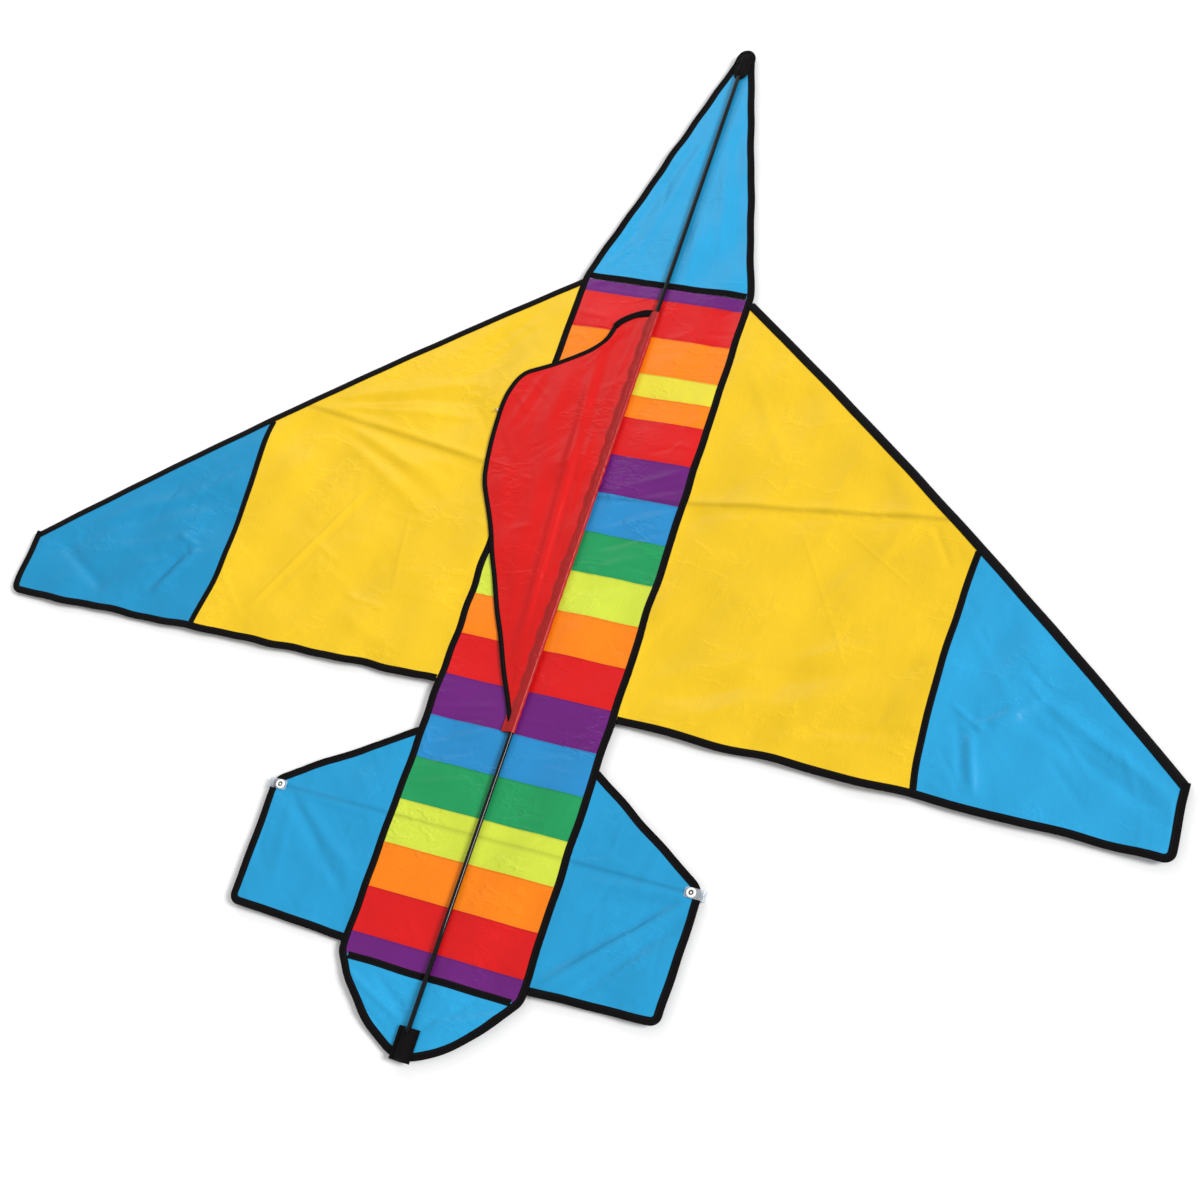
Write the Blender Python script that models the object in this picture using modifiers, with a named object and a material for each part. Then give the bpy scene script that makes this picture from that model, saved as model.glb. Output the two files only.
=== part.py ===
"""Plane-shaped delta kite with a rainbow body, lying on its back with the keel folded to the left.

X runs across the wings, +Y points to the nose and +Z is up. The origin is on the floor, at the
middle of the outline. Outlines are written as (x, s), where s is the distance behind the nose.
"""

import math

import bmesh
import bpy
import numpy as np
from mathutils import Matrix, Vector

# Lengths are in metres.
GAP = 0.0003  # clearance between pieces that touch
CLOTH = 0.0008  # thickness of a cloth panel
TAPE = 0.0016  # thickness of the folded binding tape
TAPE_WIDTH = 0.012
KEEL_TAPE_WIDTH = 0.007

NOSE_TIP = -0.011  # front of the nose cap
TAIL_END = 1.4925  # back of the tail pocket
NOSE_SEAM = 0.397  # nose panel to stripes
TAIL_SEAM = 1.390  # stripes to tail panel
BODY_HALF = 0.126  # half the width of the striped body, over its bindings
NOSE_FRONT = 0.0465  # where the cloth comes out of the nose cap
NOSE_HALF_FRONT = 0.0255
TAIL_LENGTH = 0.102  # from the body's end to the point of the tail
TAIL_POWER = 1.75  # above 1 points the tail, 2 would round it

WING_ROOT = BODY_HALF + GAP
SPAR_START = (0.1315, 0.4127)
SPAR_END = (0.7965, 0.9445)
SPAR_BOW = 0.010  # how far the leading edge bends outwards at its middle
WING_TIP = 0.8035
TRAILING_ROOT = 1.027
TRAILING_TIP = 1.040
TIP_FRONT = 0.952
TIP_CORNER = 0.014
TIP_SEAM = 0.503  # yellow panel to blue tip panel

FIN_OUTLINE = [(WING_ROOT, 1.090), (0.2965, 1.200), (0.2925, 1.369), (WING_ROOT, 1.376)]
FIN_CORNERS = [0.025, 0.014]

STRIPE = 0.058  # a full stripe
STRIPES = [
    ("purple", 0.025), ("red", STRIPE), ("orange", STRIPE), ("lime", 0.034), ("orange", 0.034),
    ("red", STRIPE), ("purple", STRIPE), ("blue", STRIPE), ("green", STRIPE), ("lime", STRIPE),
    ("orange", STRIPE), ("red", STRIPE), ("purple", STRIPE), ("blue", STRIPE), ("green", STRIPE),
    ("lime", STRIPE), ("orange", STRIPE), ("red", STRIPE), ("purple", 0.030),
]

# Distances to the left of the spine, going round the keel's free edge from the front.
KEEL_OUTLINE = [
    (0.0045, 0.4450), (0.0300, 0.4500), (0.0515, 0.4665), (0.0600, 0.4910), (0.0720, 0.5080),
    (0.0930, 0.5255), (0.1185, 0.5415), (0.1400, 0.5535), (0.1600, 0.5670), (0.1715, 0.5910),
    (0.1766, 0.6220), (0.1750, 0.6610), (0.1700, 0.7050), (0.1624, 0.7373), (0.1454, 0.7723),
    (0.1280, 0.8068), (0.1084, 0.8527), (0.0803, 0.9140), (0.0443, 0.9896), (0.0045, 1.0690),
]
KEEL_START = 0.445
KEEL_END = 1.071
TOW_POINT = 0.545  # how far round the keel's edge the tow ring sits, counted in outline points
TOW_HOLE = 0.0014
TOW_INSET = 0.0025  # from the tape's outer edge to the middle of the hole
RING_RADIUS = 0.0030
RING_WIRE = 0.0006

SPINE = 0.003  # radius of the spine rod and of the main spreader
SPAR = 0.0025
TAIL_ROD = 0.002
SOCKET = 0.0044  # outer radius of the spar connectors, which stand on the floor
JOINER = 0.0040  # outer radius of the soft elbow between the spreader's halves
LEADING_HALF_WIDTH = 0.0058
KEEL_SLEEVE = 0.0042
ROD_SIDES = 12

SPREADER_CENTRE = 0.731
SPREADER_SPAN = 0.5  # fraction of the leading edge where the spreader meets it
TAIL_ROD_STATION = 1.208
TAIL_ROD_END = 0.2970
FIN_EDGE = 0.2985  # inside of the fold in a fin's clear tab
TAB_REACH = 0.2740
TAB_WIDTH = 0.013
TAB = 0.0007
SNAP_X = 0.281
SNAP_RADIUS = 0.0063

ROD_Z = SOCKET  # axis of every rod under the sail
SAIL_Z = 0.0095  # middle of the cloth
SPINE_Z = SAIL_Z + TAPE / 2 + GAP + KEEL_SLEEVE  # axis of the spine rod, where sail and keel turn

CENTRE = (NOSE_TIP + TAIL_END) / 2

COLOURS = {
    "yellow_cloth": (0.91, 0.60, 0.035),
    "sky_blue_cloth": (0.035, 0.34, 0.70),
    "red_cloth": (0.70, 0.018, 0.020),
    "purple_cloth": (0.19, 0.033, 0.28),
    "stripe_red_cloth": (0.80, 0.025, 0.030),
    "orange_cloth": (1.0, 0.26, 0.03),
    "lime_cloth": (0.58, 0.76, 0.08),
    "blue_cloth": (0.035, 0.26, 0.64),
    "green_cloth": (0.026, 0.36, 0.13),
    "black_binding": (0.016, 0.012, 0.012),
    "black_rod": (0.010, 0.010, 0.011),
    "black_vinyl": (0.014, 0.014, 0.015),
    "clear_vinyl": (0.62, 0.68, 0.74),
    "white_plastic": (0.85, 0.85, 0.83),
    "steel": (0.60, 0.60, 0.62),
}
STRIPE_CLOTH = {
    "purple": "purple_cloth", "red": "stripe_red_cloth", "orange": "orange_cloth",
    "lime": "lime_cloth", "blue": "blue_cloth", "green": "green_cloth",
}


# ---- scene and materials ----

def clear_scene():
    for obj in list(bpy.data.objects):
        bpy.data.objects.remove(obj, do_unlink=True)


def new_collection(name, hidden=False):
    collection = bpy.data.collections.new(name)
    collection.hide_render = hidden
    bpy.context.scene.collection.children.link(collection)
    return collection


def material(name):
    found = bpy.data.materials.get(name)
    if found:
        return found
    made = bpy.data.materials.new(name)
    made.use_nodes = True
    shader = made.node_tree.nodes["Principled BSDF"]
    shader.inputs["Base Color"].default_value = (*COLOURS[name], 1)
    glossy = name in ("black_rod", "clear_vinyl", "white_plastic", "steel")
    shader.inputs["Roughness"].default_value = 0.25 if glossy else 0.6
    shader.inputs["Metallic"].default_value = 1.0 if name == "steel" else 0.0
    return made


def at(x, s, z):
    """World position of a point s behind the nose."""
    return Vector((x, CENTRE - s, z))


def add_part(name, mesh, finish):
    obj = bpy.data.objects.new(name, mesh)
    parts.objects.link(obj)
    mesh.materials.clear()
    mesh.materials.append(material(finish))
    return obj


def add_cutter(name, mesh):
    obj = bpy.data.objects.new(name, mesh)
    cutters.objects.link(obj)
    obj.hide_render = True
    obj.display_type = "WIRE"
    return obj


def cut(obj, cutter_mesh):
    cutter = add_cutter(obj.name + "_cutter", cutter_mesh)
    modifier = obj.modifiers.new("cut", "BOOLEAN")
    modifier.operation = "DIFFERENCE"
    modifier.object = cutter


def join(obj, other_mesh):
    other = add_cutter(obj.name + "_addition", other_mesh)
    modifier = obj.modifiers.new("join", "BOOLEAN")
    modifier.operation = "UNION"
    modifier.object = other


# ---- outlines ----

def offset_path(path, distance):
    """The open path moved to its right-hand side, seen with s downwards, with mitred corners."""
    points = np.array(path, float)
    steps = np.diff(points, axis=0)
    steps /= np.linalg.norm(steps, axis=1)[:, None]
    normals = np.stack([-steps[:, 1], steps[:, 0]], axis=1)
    before = np.vstack([normals[:1], normals])
    after = np.vstack([normals, normals[-1:]])
    middle = before + after
    middle /= np.linalg.norm(middle, axis=1)[:, None]
    reach = distance / np.sum(middle * after, axis=1)
    return points + middle * reach[:, None]


def trim_path(path, least):
    """The path with the ends that fall below x = least cut back to that line."""
    points = np.array(path, float)
    inside = np.where(points[:, 0] >= least)[0]
    first, last = inside[0], inside[-1]
    kept = [tuple(p) for p in points[first:last + 1]]
    if first > 0:
        kept.insert(0, cross(points[first - 1], points[first], least))
    if last < len(points) - 1:
        kept.append(cross(points[last], points[last + 1], least))
    return kept


def cross(a, b, x):
    share = (x - a[0]) / (b[0] - a[0])
    return (x, a[1] + share * (b[1] - a[1]))


def at_station(path, s):
    return (np.interp(s, path[:, 1], path[:, 0]), s)


def line_at(a, b, s):
    share = (s - a[1]) / (b[1] - a[1])
    return (a[0] + share * (b[0] - a[0]), s)


def round_corners(path, radii, steps=5):
    """The path with each inner corner replaced by an arc."""
    points = [Vector(p) for p in path]
    made = [tuple(points[0])]
    for before, corner, after, radius in zip(points, points[1:], points[2:], radii):
        to_before = (before - corner).normalized()
        to_after = (after - corner).normalized()
        half = to_before.angle(to_after) / 2
        centre = corner + (to_before + to_after).normalized() * radius / math.sin(half)
        start = corner + to_before * radius / math.tan(half) - centre
        end = corner + to_after * radius / math.tan(half) - centre
        turn = start.angle_signed(end)
        for i in range(steps + 1):
            made.append(tuple(centre + Matrix.Rotation(-turn * i / steps, 2) @ start))
    made.append(tuple(points[-1]))
    return made


def smooth_path(points, steps=4):
    """A Catmull-Rom curve through the points."""
    p = np.array(points, float)
    p = np.vstack([2 * p[0] - p[1], p, 2 * p[-1] - p[-2]])
    t = np.linspace(0, 1, steps, endpoint=False)[:, None]
    made = []
    for a, b, c, d in zip(p, p[1:], p[2:], p[3:]):
        made.append(0.5 * (2 * b + (c - a) * t + (2 * a - 5 * b + 4 * c - d) * t**2
                           + (3 * b - a - 3 * c + d) * t**3))
    return np.vstack(made + [p[-2:-1]])


def leading_edge(t, inset=0.0):
    """Points on the leading edge, a shallow bow from t = 0 at the body to t = 1 at the tip."""
    start, end = np.array(SPAR_START), np.array(SPAR_END)
    along = (end - start) / np.linalg.norm(end - start)
    outwards = np.array([along[1], -along[0]])
    t = np.atleast_1d(t)[:, None]
    return start + (end - start) * t + outwards * (4 * SPAR_BOW * t * (1 - t) - inset)


def leading_stretch(x_from, x_to, inset, count=9):
    """The part of the leading edge between two distances from the spine."""
    t = np.linspace(-0.05, 1.05, 111)
    edge = leading_edge(t, inset)
    x = np.linspace(x_from, x_to, count)
    return list(zip(x, np.interp(x, edge[:, 0], edge[:, 1])))


def trailing_edge(x, inset=0.0):
    share = (x - WING_ROOT) / (WING_TIP - WING_ROOT)
    return (x, TRAILING_ROOT + share * (TRAILING_TIP - TRAILING_ROOT) - inset)


def body_edge(count=12):
    """The outer edge of nose, body and tail on one side, from the nose cap to the tail pocket."""
    path = [(NOSE_HALF_FRONT, NOSE_FRONT), (BODY_HALF, NOSE_SEAM)]
    for x in np.linspace(BODY_HALF, GAP / 2, count):
        path.append((x, TAIL_END - 0.0025 - TAIL_LENGTH * (x / BODY_HALF) ** TAIL_POWER))
    return path


# ---- shapes ----

def curve_mesh(curve, location=(0, 0, 0)):
    """The mesh of a curve, with its caps welded, moved to a place."""
    helper = bpy.data.objects.new("helper", curve)
    bpy.context.scene.collection.objects.link(helper)
    graph = bpy.context.evaluated_depsgraph_get()
    mesh = bpy.data.meshes.new_from_object(helper.evaluated_get(graph))
    bpy.data.objects.remove(helper)
    work = bmesh.new()
    work.from_mesh(mesh)
    bmesh.ops.remove_doubles(work, verts=work.verts, dist=1e-6)
    bmesh.ops.translate(work, verts=work.verts, vec=location)
    work.to_mesh(mesh)
    work.free()
    return mesh


def flat_mesh(outline, z, thickness):
    """A flat sheet cut to an outline of (x, s) points."""
    curve = bpy.data.curves.new("outline", "CURVE")
    curve.dimensions = "2D"
    curve.fill_mode = "BOTH"
    curve.extrude = thickness / 2
    spline = curve.splines.new("POLY")
    spline.points.add(len(outline) - 1)
    spline.points.foreach_set("co", [v for x, s in outline for v in (x, CENTRE - s, 0, 1)])
    spline.use_cyclic_u = True
    return curve_mesh(curve, (0, 0, z))


def sheet(name, outline, finish, z=SAIL_Z, thickness=CLOTH):
    return add_part(name, flat_mesh(outline, z, thickness), finish)


def band(name, outer, width, finish, least=0.0, side=1, z=SAIL_Z):
    """A binding tape along a path of (x, s) points, lying to its inner side."""
    inner = trim_path(offset_path(outer, width), least)
    outline = [(side * x, s) for x, s in list(outer) + inner[::-1]]
    return sheet(name, outline, finish, z=z, thickness=TAPE)


def rod_mesh(start, end, radius, sides=ROD_SIDES):
    """A straight rod with a flat side underneath, whose flats are the given radius away."""
    along = end - start
    up = Vector((0, 0, 1))
    across = up.cross(along).normalized()
    turned = Matrix((up, across, along.normalized())).transposed().to_4x4()
    place = Matrix.Translation((start + end) / 2) @ turned @ Matrix.Rotation(math.pi / sides, 4, "Z")
    corner = radius / math.cos(math.pi / sides)
    work = bmesh.new()
    bmesh.ops.create_cone(work, cap_ends=True, segments=sides, radius1=corner, radius2=corner,
                          depth=along.length, matrix=place)
    bmesh.ops.recalc_face_normals(work, faces=work.faces)
    return finished(work, smooth=True)


def finished(work, smooth=False):
    mesh = bpy.data.meshes.new("shape")
    work.to_mesh(mesh)
    work.free()
    if smooth:
        mesh.shade_smooth()
        mesh.set_sharp_from_angle(angle=math.radians(40))
    return mesh


def rod(name, start, end, radius, finish):
    return add_part(name, rod_mesh(start, end, radius), finish)


def section(half_width, half_height, sides=ROD_SIDES):
    """Points (across, up) round a rod or sleeve that stands on a flat side."""
    angles = (np.arange(sides) + 0.5) * 2 * math.pi / sides
    round_it = 1 / math.cos(math.pi / sides)
    return np.stack([half_width * np.cos(angles), half_height * np.sin(angles)], axis=1) * round_it


def swept_mesh(path, outer, inner=None):
    """A section swept along a path of (x, s) points at the rods' height, hollow if inner is given."""
    points = np.array([at(x, s, ROD_Z) for x, s in path])
    along = np.gradient(points, axis=0)
    across = np.stack([-along[:, 1], along[:, 0]], axis=1)
    across /= np.linalg.norm(across, axis=1)[:, None]
    work = bmesh.new()
    skins = []
    for shape in (outer,) if inner is None else (outer, inner):
        skins.append([[work.verts.new((*(p[:2] + q * u), p[2] + v)) for u, v in shape]
                      for p, q in zip(points, across)])
    for rings in skins:
        for a, b in zip(rings, rings[1:]):
            join_rings(work, a, b)
    for end in (0, -1):
        if inner is None:
            work.faces.new(skins[0][end])
        else:
            join_rings(work, skins[0][end], skins[1][end])
    bmesh.ops.recalc_face_normals(work, faces=work.faces)
    return finished(work, smooth=True)


def join_rings(work, a, b):
    for k in range(len(a)):
        work.faces.new((a[k - 1], b[k - 1], b[k], a[k]))


def box_mesh(low, high):
    work = bmesh.new()
    middle = (Vector(low) + Vector(high)) / 2
    size = Vector(high) - Vector(low)
    bmesh.ops.create_cube(work, size=1, matrix=Matrix.LocRotScale(middle, None, size))
    return finished(work)


def soften(obj, width, segments=2):
    bevel = obj.modifiers.new("rounded edges", "BEVEL")
    bevel.width = width
    bevel.segments = segments
    bevel.limit_method = "ANGLE"


# ---- the pieces ----

def make_body_cloth():
    tape = TAPE_WIDTH / 2
    body_strip("nose_panel", NOSE_FRONT - GAP, NOSE_SEAM - tape - GAP, "sky_blue_cloth")
    body_strip("nose_seam_tape", NOSE_SEAM - tape, NOSE_SEAM + tape, "black_binding", TAPE)
    station = NOSE_SEAM
    for number, (colour, width) in enumerate(STRIPES, 1):
        low = max(station, NOSE_SEAM + tape + GAP / 2) + GAP / 2
        station += width
        high = min(station, TAIL_SEAM - tape - GAP / 2) - GAP / 2
        body_strip(f"stripe_{number:02d}_{colour}", low, high, STRIPE_CLOTH[colour])
    body_strip("tail_seam_tape", TAIL_SEAM - tape, TAIL_SEAM + tape, "black_binding", TAPE)
    body_strip("tail_panel", TAIL_SEAM + tape + GAP, TAIL_END - TAPE_WIDTH - 0.003,
               "sky_blue_cloth")


def body_strip(name, low, high, finish, thickness=CLOTH):
    """A piece of the body from side to side, between two distances behind the nose."""
    edge = offset_path(body_edge(), TAPE_WIDTH + GAP)
    between = [tuple(p) for p in edge if low < p[1] < high]
    front = line_at(edge[0], edge[1], low) if low < edge[0][1] else at_station(edge, low)
    right = [front] + between + [at_station(edge, high)]
    sheet(name, right + [(-x, s) for x, s in right[::-1]], finish, thickness=thickness)


def make_bindings(name, side):
    band(f"{name}_side_binding", body_edge(), TAPE_WIDTH, "black_binding", side=side)


def make_wing(name, side):
    inset = LEADING_HALF_WIDTH + GAP
    tape = TAPE_WIDTH + GAP
    seam_in, seam_out = TIP_SEAM - TAPE_WIDTH / 2, TIP_SEAM + TAPE_WIDTH / 2

    def mirrored(outline):
        return [(side * x, s) for x, s in outline]

    main = leading_stretch(WING_ROOT, seam_in - GAP, inset)
    main += [trailing_edge(seam_in - GAP, tape), trailing_edge(WING_ROOT, tape)]
    sheet(f"{name}_wing_panel", mirrored(main), "yellow_cloth")

    seam = leading_stretch(seam_in, seam_out, inset, 2)
    seam += [trailing_edge(seam_out, tape), trailing_edge(seam_in, tape)]
    sheet(f"{name}_wing_seam_tape", mirrored(seam), "black_binding", thickness=TAPE)

    edge = [trailing_edge(WING_ROOT), trailing_edge(WING_TIP), (WING_TIP, TIP_FRONT)]
    edge = round_corners(edge, [TIP_CORNER])
    inner = offset_path(edge, -tape)
    tip = leading_stretch(seam_out + GAP, inner[-1][0], inset)
    tip += [tuple(p) for p in inner[::-1] if p[0] > seam_out + GAP]
    tip.append(trailing_edge(seam_out + GAP, tape))
    sheet(f"{name}_tip_panel", mirrored(tip), "sky_blue_cloth")
    band(f"{name}_wing_edge_tape", edge, -TAPE_WIDTH, "black_binding", side=side)


def make_leading_edge(name, side):
    path = [(side * x, s) for x, s in leading_edge(np.linspace(0, 1, 13))]
    mesh = swept_mesh(path, section(LEADING_HALF_WIDTH, SOCKET), section(SPAR + GAP, SPAR + GAP))
    sleeve = add_part(f"{name}_leading_edge_sleeve", mesh, "black_binding")
    # The sleeve is open on its inner side where the spreader's connector grips the spar.
    joint, along, inwards = connector_place(side)
    window = bmesh.new()
    reach = Matrix((along, inwards, Vector((0, 0, 1)))).transposed().to_4x4()
    centre = joint + inwards * 0.0055
    bmesh.ops.create_cube(window, size=1, matrix=Matrix.Translation(centre) @ reach
                          @ Matrix.Diagonal((0.028, 0.0203, 0.02, 1)))
    bmesh.ops.recalc_face_normals(window, faces=window.faces)
    cut(sleeve, finished(window))

    inside = [(side * x, s) for x, s in leading_edge(np.linspace(0.004, 0.996, 13))]
    add_part(f"{name}_leading_edge_spar", swept_mesh(inside, section(SPAR, SPAR)), "black_rod")


def connector_place(side):
    """Where the spreader meets the spar, the spar's direction there, and the way to the body."""
    before, joint, after = leading_edge([SPREADER_SPAN - 0.01, SPREADER_SPAN, SPREADER_SPAN + 0.01])
    place = at(side * joint[0], joint[1], ROD_Z)
    along = (at(side * after[0], after[1], 0) - at(side * before[0], before[1], 0)).normalized()
    inwards = Vector((0, 0, 1)).cross(along) * -side
    return place, along, inwards


def make_spreader(name, side):
    joint, along, _ = connector_place(side)
    centre = at(0, SPREADER_CENTRE, ROD_Z)
    outwards = (joint - centre).normalized()
    rod(f"{name}_spreader_rod", centre + outwards * 0.008, joint - outwards * 0.008, SPINE,
        "black_rod")
    grip = rod_mesh(joint - along * 0.012, joint + along * 0.012, SOCKET)
    connector = add_part(f"{name}_spar_connector", grip, "black_vinyl")
    join(connector, rod_mesh(joint, joint - outwards * 0.036, SOCKET))
    cut(connector, rod_mesh(joint - along * 0.02, joint + along * 0.02, SPAR + GAP))
    cut(connector, rod_mesh(joint - outwards * 0.0075, joint - outwards * 0.05, SPINE + GAP))


def make_spreader_joiner():
    """A soft elbow that holds both spreader rods behind the spine."""
    centre = at(0, SPREADER_CENTRE, ROD_Z)
    arms = [(connector_place(side)[0] - centre).normalized() for side in (1, -1)]
    halves = [rod_mesh(centre - arm * 0.003, centre + arm * 0.030, JOINER) for arm in arms]
    joiner = add_part("spreader_joiner", halves[0], "black_vinyl")
    join(joiner, halves[1])
    for arm in arms:
        cut(joiner, rod_mesh(centre + arm * 0.0075, centre + arm * 0.05, SPINE + GAP))


def make_tail_rods():
    for name, side in SIDES:
        rod(f"{name}_tail_rod", at(side * 0.004, TAIL_ROD_STATION, ROD_Z),
            at(side * TAIL_ROD_END, TAIL_ROD_STATION, ROD_Z), TAIL_ROD, "black_rod")
    left, right = (at(side * 0.022, TAIL_ROD_STATION, ROD_Z) for side in (-1, 1))
    joiner = add_part("tail_rod_joiner", rod_mesh(left, right, TAIL_ROD + 0.0013), "black_vinyl")
    for side in (-1, 1):
        cut(joiner, rod_mesh(at(side * 0.0035, TAIL_ROD_STATION, ROD_Z),
                             at(side * 0.03, TAIL_ROD_STATION, ROD_Z), TAIL_ROD + GAP))


def make_fin(name, side):
    outline = round_corners(FIN_OUTLINE, FIN_CORNERS)
    band(f"{name}_fin_edge_tape", outline, TAPE_WIDTH, "black_binding", WING_ROOT, side)
    inner = trim_path(offset_path(outline, TAPE_WIDTH + GAP), WING_ROOT)
    sheet(f"{name}_fin_panel", [(side * x, s) for x, s in inner], "sky_blue_cloth")

    # A clear strip folded over the fin's edge holds the end of the tail rod.
    low, high = ROD_Z - TAIL_ROD - GAP, SAIL_Z + TAPE / 2 + GAP
    fold = [(TAB_REACH, low), (FIN_EDGE, low), (FIN_EDGE, high), (TAB_REACH, high)]
    outside = [(TAB_REACH, high + TAB), (FIN_EDGE + TAB, high + TAB), (FIN_EDGE + TAB, low - TAB),
               (TAB_REACH, low - TAB)]
    front = at(0, TAIL_ROD_STATION - TAB_WIDTH / 2, 0)
    work = bmesh.new()
    end = work.faces.new([work.verts.new(front + Vector((side * x, 0, z))) for x, z in fold + outside])
    strip = bmesh.ops.extrude_face_region(work, geom=[end])["geom"]
    moved = [v for v in strip if isinstance(v, bmesh.types.BMVert)]
    bmesh.ops.translate(work, verts=moved, vec=(0, -TAB_WIDTH, 0))
    bmesh.ops.recalc_face_normals(work, faces=work.faces)
    add_part(f"{name}_fin_tab", finished(work), "clear_vinyl")

    snap = bpy.data.meshes.new("snap_profile")
    r, h = SNAP_RADIUS, 0.0019
    profile_points = [(0, h * 0.45), (r * 0.3, h * 0.45), (r * 0.36, h * 0.9), (r * 0.5, h),
                      (r * 0.85, h * 0.85), (r, h * 0.35), (r, 0), (0, 0)]
    snap.from_pydata([(x, 0, z) for x, z in profile_points],
                     [(i, i + 1) for i in range(len(profile_points) - 1)], [])
    cap = add_part(f"{name}_fin_snap", snap, "white_plastic")
    cap.location = at(side * SNAP_X, TAIL_ROD_STATION, high + TAB + GAP)
    turn = cap.modifiers.new("turn", "SCREW")
    turn.steps = turn.render_steps = 20
    turn.use_merge_vertices = True
    turn.merge_threshold = 1e-5


def make_spine():
    rod("spine_rod", at(0, 0.012, SPINE_Z), at(0, 1.485, SPINE_Z), SPINE, "black_rod")

    half = [(0.0, NOSE_TIP), (0.007, -0.008), (0.0125, 0.002), (0.0165, 0.016), (0.0175, 0.030),
            (0.0165, 0.046)]
    outline = half + [(-x, s) for x, s in half[:0:-1]]
    cap = sheet("nose_cap", outline, "black_binding", SPINE_Z - 0.001, 0.0116)
    soften(cap, 0.0025)
    cut(cap, rod_mesh(at(0, 0.011, SPINE_Z), at(0, 0.06, SPINE_Z), SPINE + GAP))

    low, high = at(-0.014, TAIL_END, SAIL_Z + 0.0012), at(0.014, 1.450, SPINE_Z + 0.0042)
    pocket = add_part("tail_pocket", box_mesh(low, high), "black_binding")
    soften(pocket, 0.002)
    cut(pocket, rod_mesh(at(0, 1.44, SPINE_Z), at(0, 1.4865, SPINE_Z), SPINE + GAP))


def make_keel():
    outer = [(x, s) for x, s in smooth_path(KEEL_OUTLINE)]
    least = KEEL_OUTLINE[0][0]
    tape = band("keel_edge_tape", outer, KEEL_TAPE_WIDTH, "black_binding", least, -1, SPINE_Z)
    inner = trim_path(offset_path(outer, KEEL_TAPE_WIDTH + GAP), least)
    sheet("keel_panel", [(-x, s) for x, s in inner], "red_cloth", SPINE_Z)

    sleeve = rod_mesh(at(0, KEEL_START, SPINE_Z), at(0, KEEL_END, SPINE_Z), KEEL_SLEEVE)
    sleeve = add_part("keel_sleeve", sleeve, "red_cloth")
    cut(sleeve, rod_mesh(at(0, KEEL_START - 0.01, SPINE_Z), at(0, KEEL_END + 0.01, SPINE_Z),
                         SPINE + GAP))

    # The tow ring hangs in a hole near the edge, where the keel is widest.
    index = round(TOW_POINT * (len(outer) - 1))
    tangent = np.array(outer[index + 1]) - np.array(outer[index - 1])
    tangent /= np.linalg.norm(tangent)
    inwards = np.array([-tangent[1], tangent[0]])
    hole = np.array(outer[index]) + inwards * TOW_INSET
    place = at(-hole[0], hole[1], SPINE_Z)
    cut(tape, rod_hole(place))
    away = Vector((inwards[0], inwards[1], 0)).normalized()
    ring = add_part("tow_ring", ring_mesh(place, away), "steel")
    ring.data.shade_smooth()


def rod_hole(place):
    work = bmesh.new()
    bmesh.ops.create_cone(work, cap_ends=True, segments=12, radius1=TOW_HOLE, radius2=TOW_HOLE,
                          depth=0.01, matrix=Matrix.Translation(place))
    return finished(work)


def ring_mesh(hole, away, turns=20, sides=8):
    """A wire ring that passes through the hole and round the edge of the tape."""
    centre = hole + away * RING_RADIUS
    work = bmesh.new()
    loops = []
    for i in range(turns):
        angle = 2 * math.pi * i / turns
        radial = away * math.cos(angle) + Vector((0, 0, 1)) * math.sin(angle)
        side = away.cross(Vector((0, 0, 1)))
        middle = centre + radial * RING_RADIUS
        loops.append([work.verts.new(middle + (radial * math.cos(a) + side * math.sin(a)) * RING_WIRE)
                      for a in (2 * math.pi * k / sides for k in range(sides))])
    for a, b in zip(loops, loops[1:] + loops[:1]):
        for k in range(sides):
            work.faces.new((a[k], b[k], b[(k + 1) % sides], a[(k + 1) % sides]))
    bmesh.ops.recalc_face_normals(work, faces=work.faces)
    return finished(work)


SIDES = (("left", -1), ("right", 1))
clear_scene()
parts = new_collection("delta_kite")
cutters = new_collection("cutters", hidden=True)

make_spine()
make_body_cloth()
for side_name, side_sign in SIDES:
    make_bindings(side_name, side_sign)
    make_wing(side_name, side_sign)
    make_leading_edge(side_name, side_sign)
    make_spreader(side_name, side_sign)
    make_fin(side_name, side_sign)
make_spreader_joiner()
make_tail_rods()
make_keel()
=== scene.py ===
import math

import bmesh
import bpy
import numpy as np
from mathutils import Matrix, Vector


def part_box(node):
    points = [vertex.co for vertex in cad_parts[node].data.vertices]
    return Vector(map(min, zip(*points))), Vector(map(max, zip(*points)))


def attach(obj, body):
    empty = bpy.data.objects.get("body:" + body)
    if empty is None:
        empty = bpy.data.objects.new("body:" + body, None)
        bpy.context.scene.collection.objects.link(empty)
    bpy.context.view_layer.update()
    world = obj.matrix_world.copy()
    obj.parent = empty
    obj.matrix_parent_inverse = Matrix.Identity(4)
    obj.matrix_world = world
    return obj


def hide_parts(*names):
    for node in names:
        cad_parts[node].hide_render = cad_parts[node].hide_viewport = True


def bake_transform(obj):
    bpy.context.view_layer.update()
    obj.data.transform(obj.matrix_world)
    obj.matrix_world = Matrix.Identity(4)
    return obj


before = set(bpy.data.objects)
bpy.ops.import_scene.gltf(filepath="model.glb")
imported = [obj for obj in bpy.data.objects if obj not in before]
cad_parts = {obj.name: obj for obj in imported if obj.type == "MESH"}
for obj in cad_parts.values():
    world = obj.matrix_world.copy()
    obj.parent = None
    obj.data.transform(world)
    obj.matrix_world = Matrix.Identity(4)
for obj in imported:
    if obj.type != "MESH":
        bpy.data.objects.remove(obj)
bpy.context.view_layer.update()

# The plan is measured as x across the kite and s, the distance behind the nose, in metres.
# noseY is y where s is 0.
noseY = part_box("spine_rod")[1].y + 0.012
sailZ = (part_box("nose_panel")[0].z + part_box("nose_panel")[1].z) / 2
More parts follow.
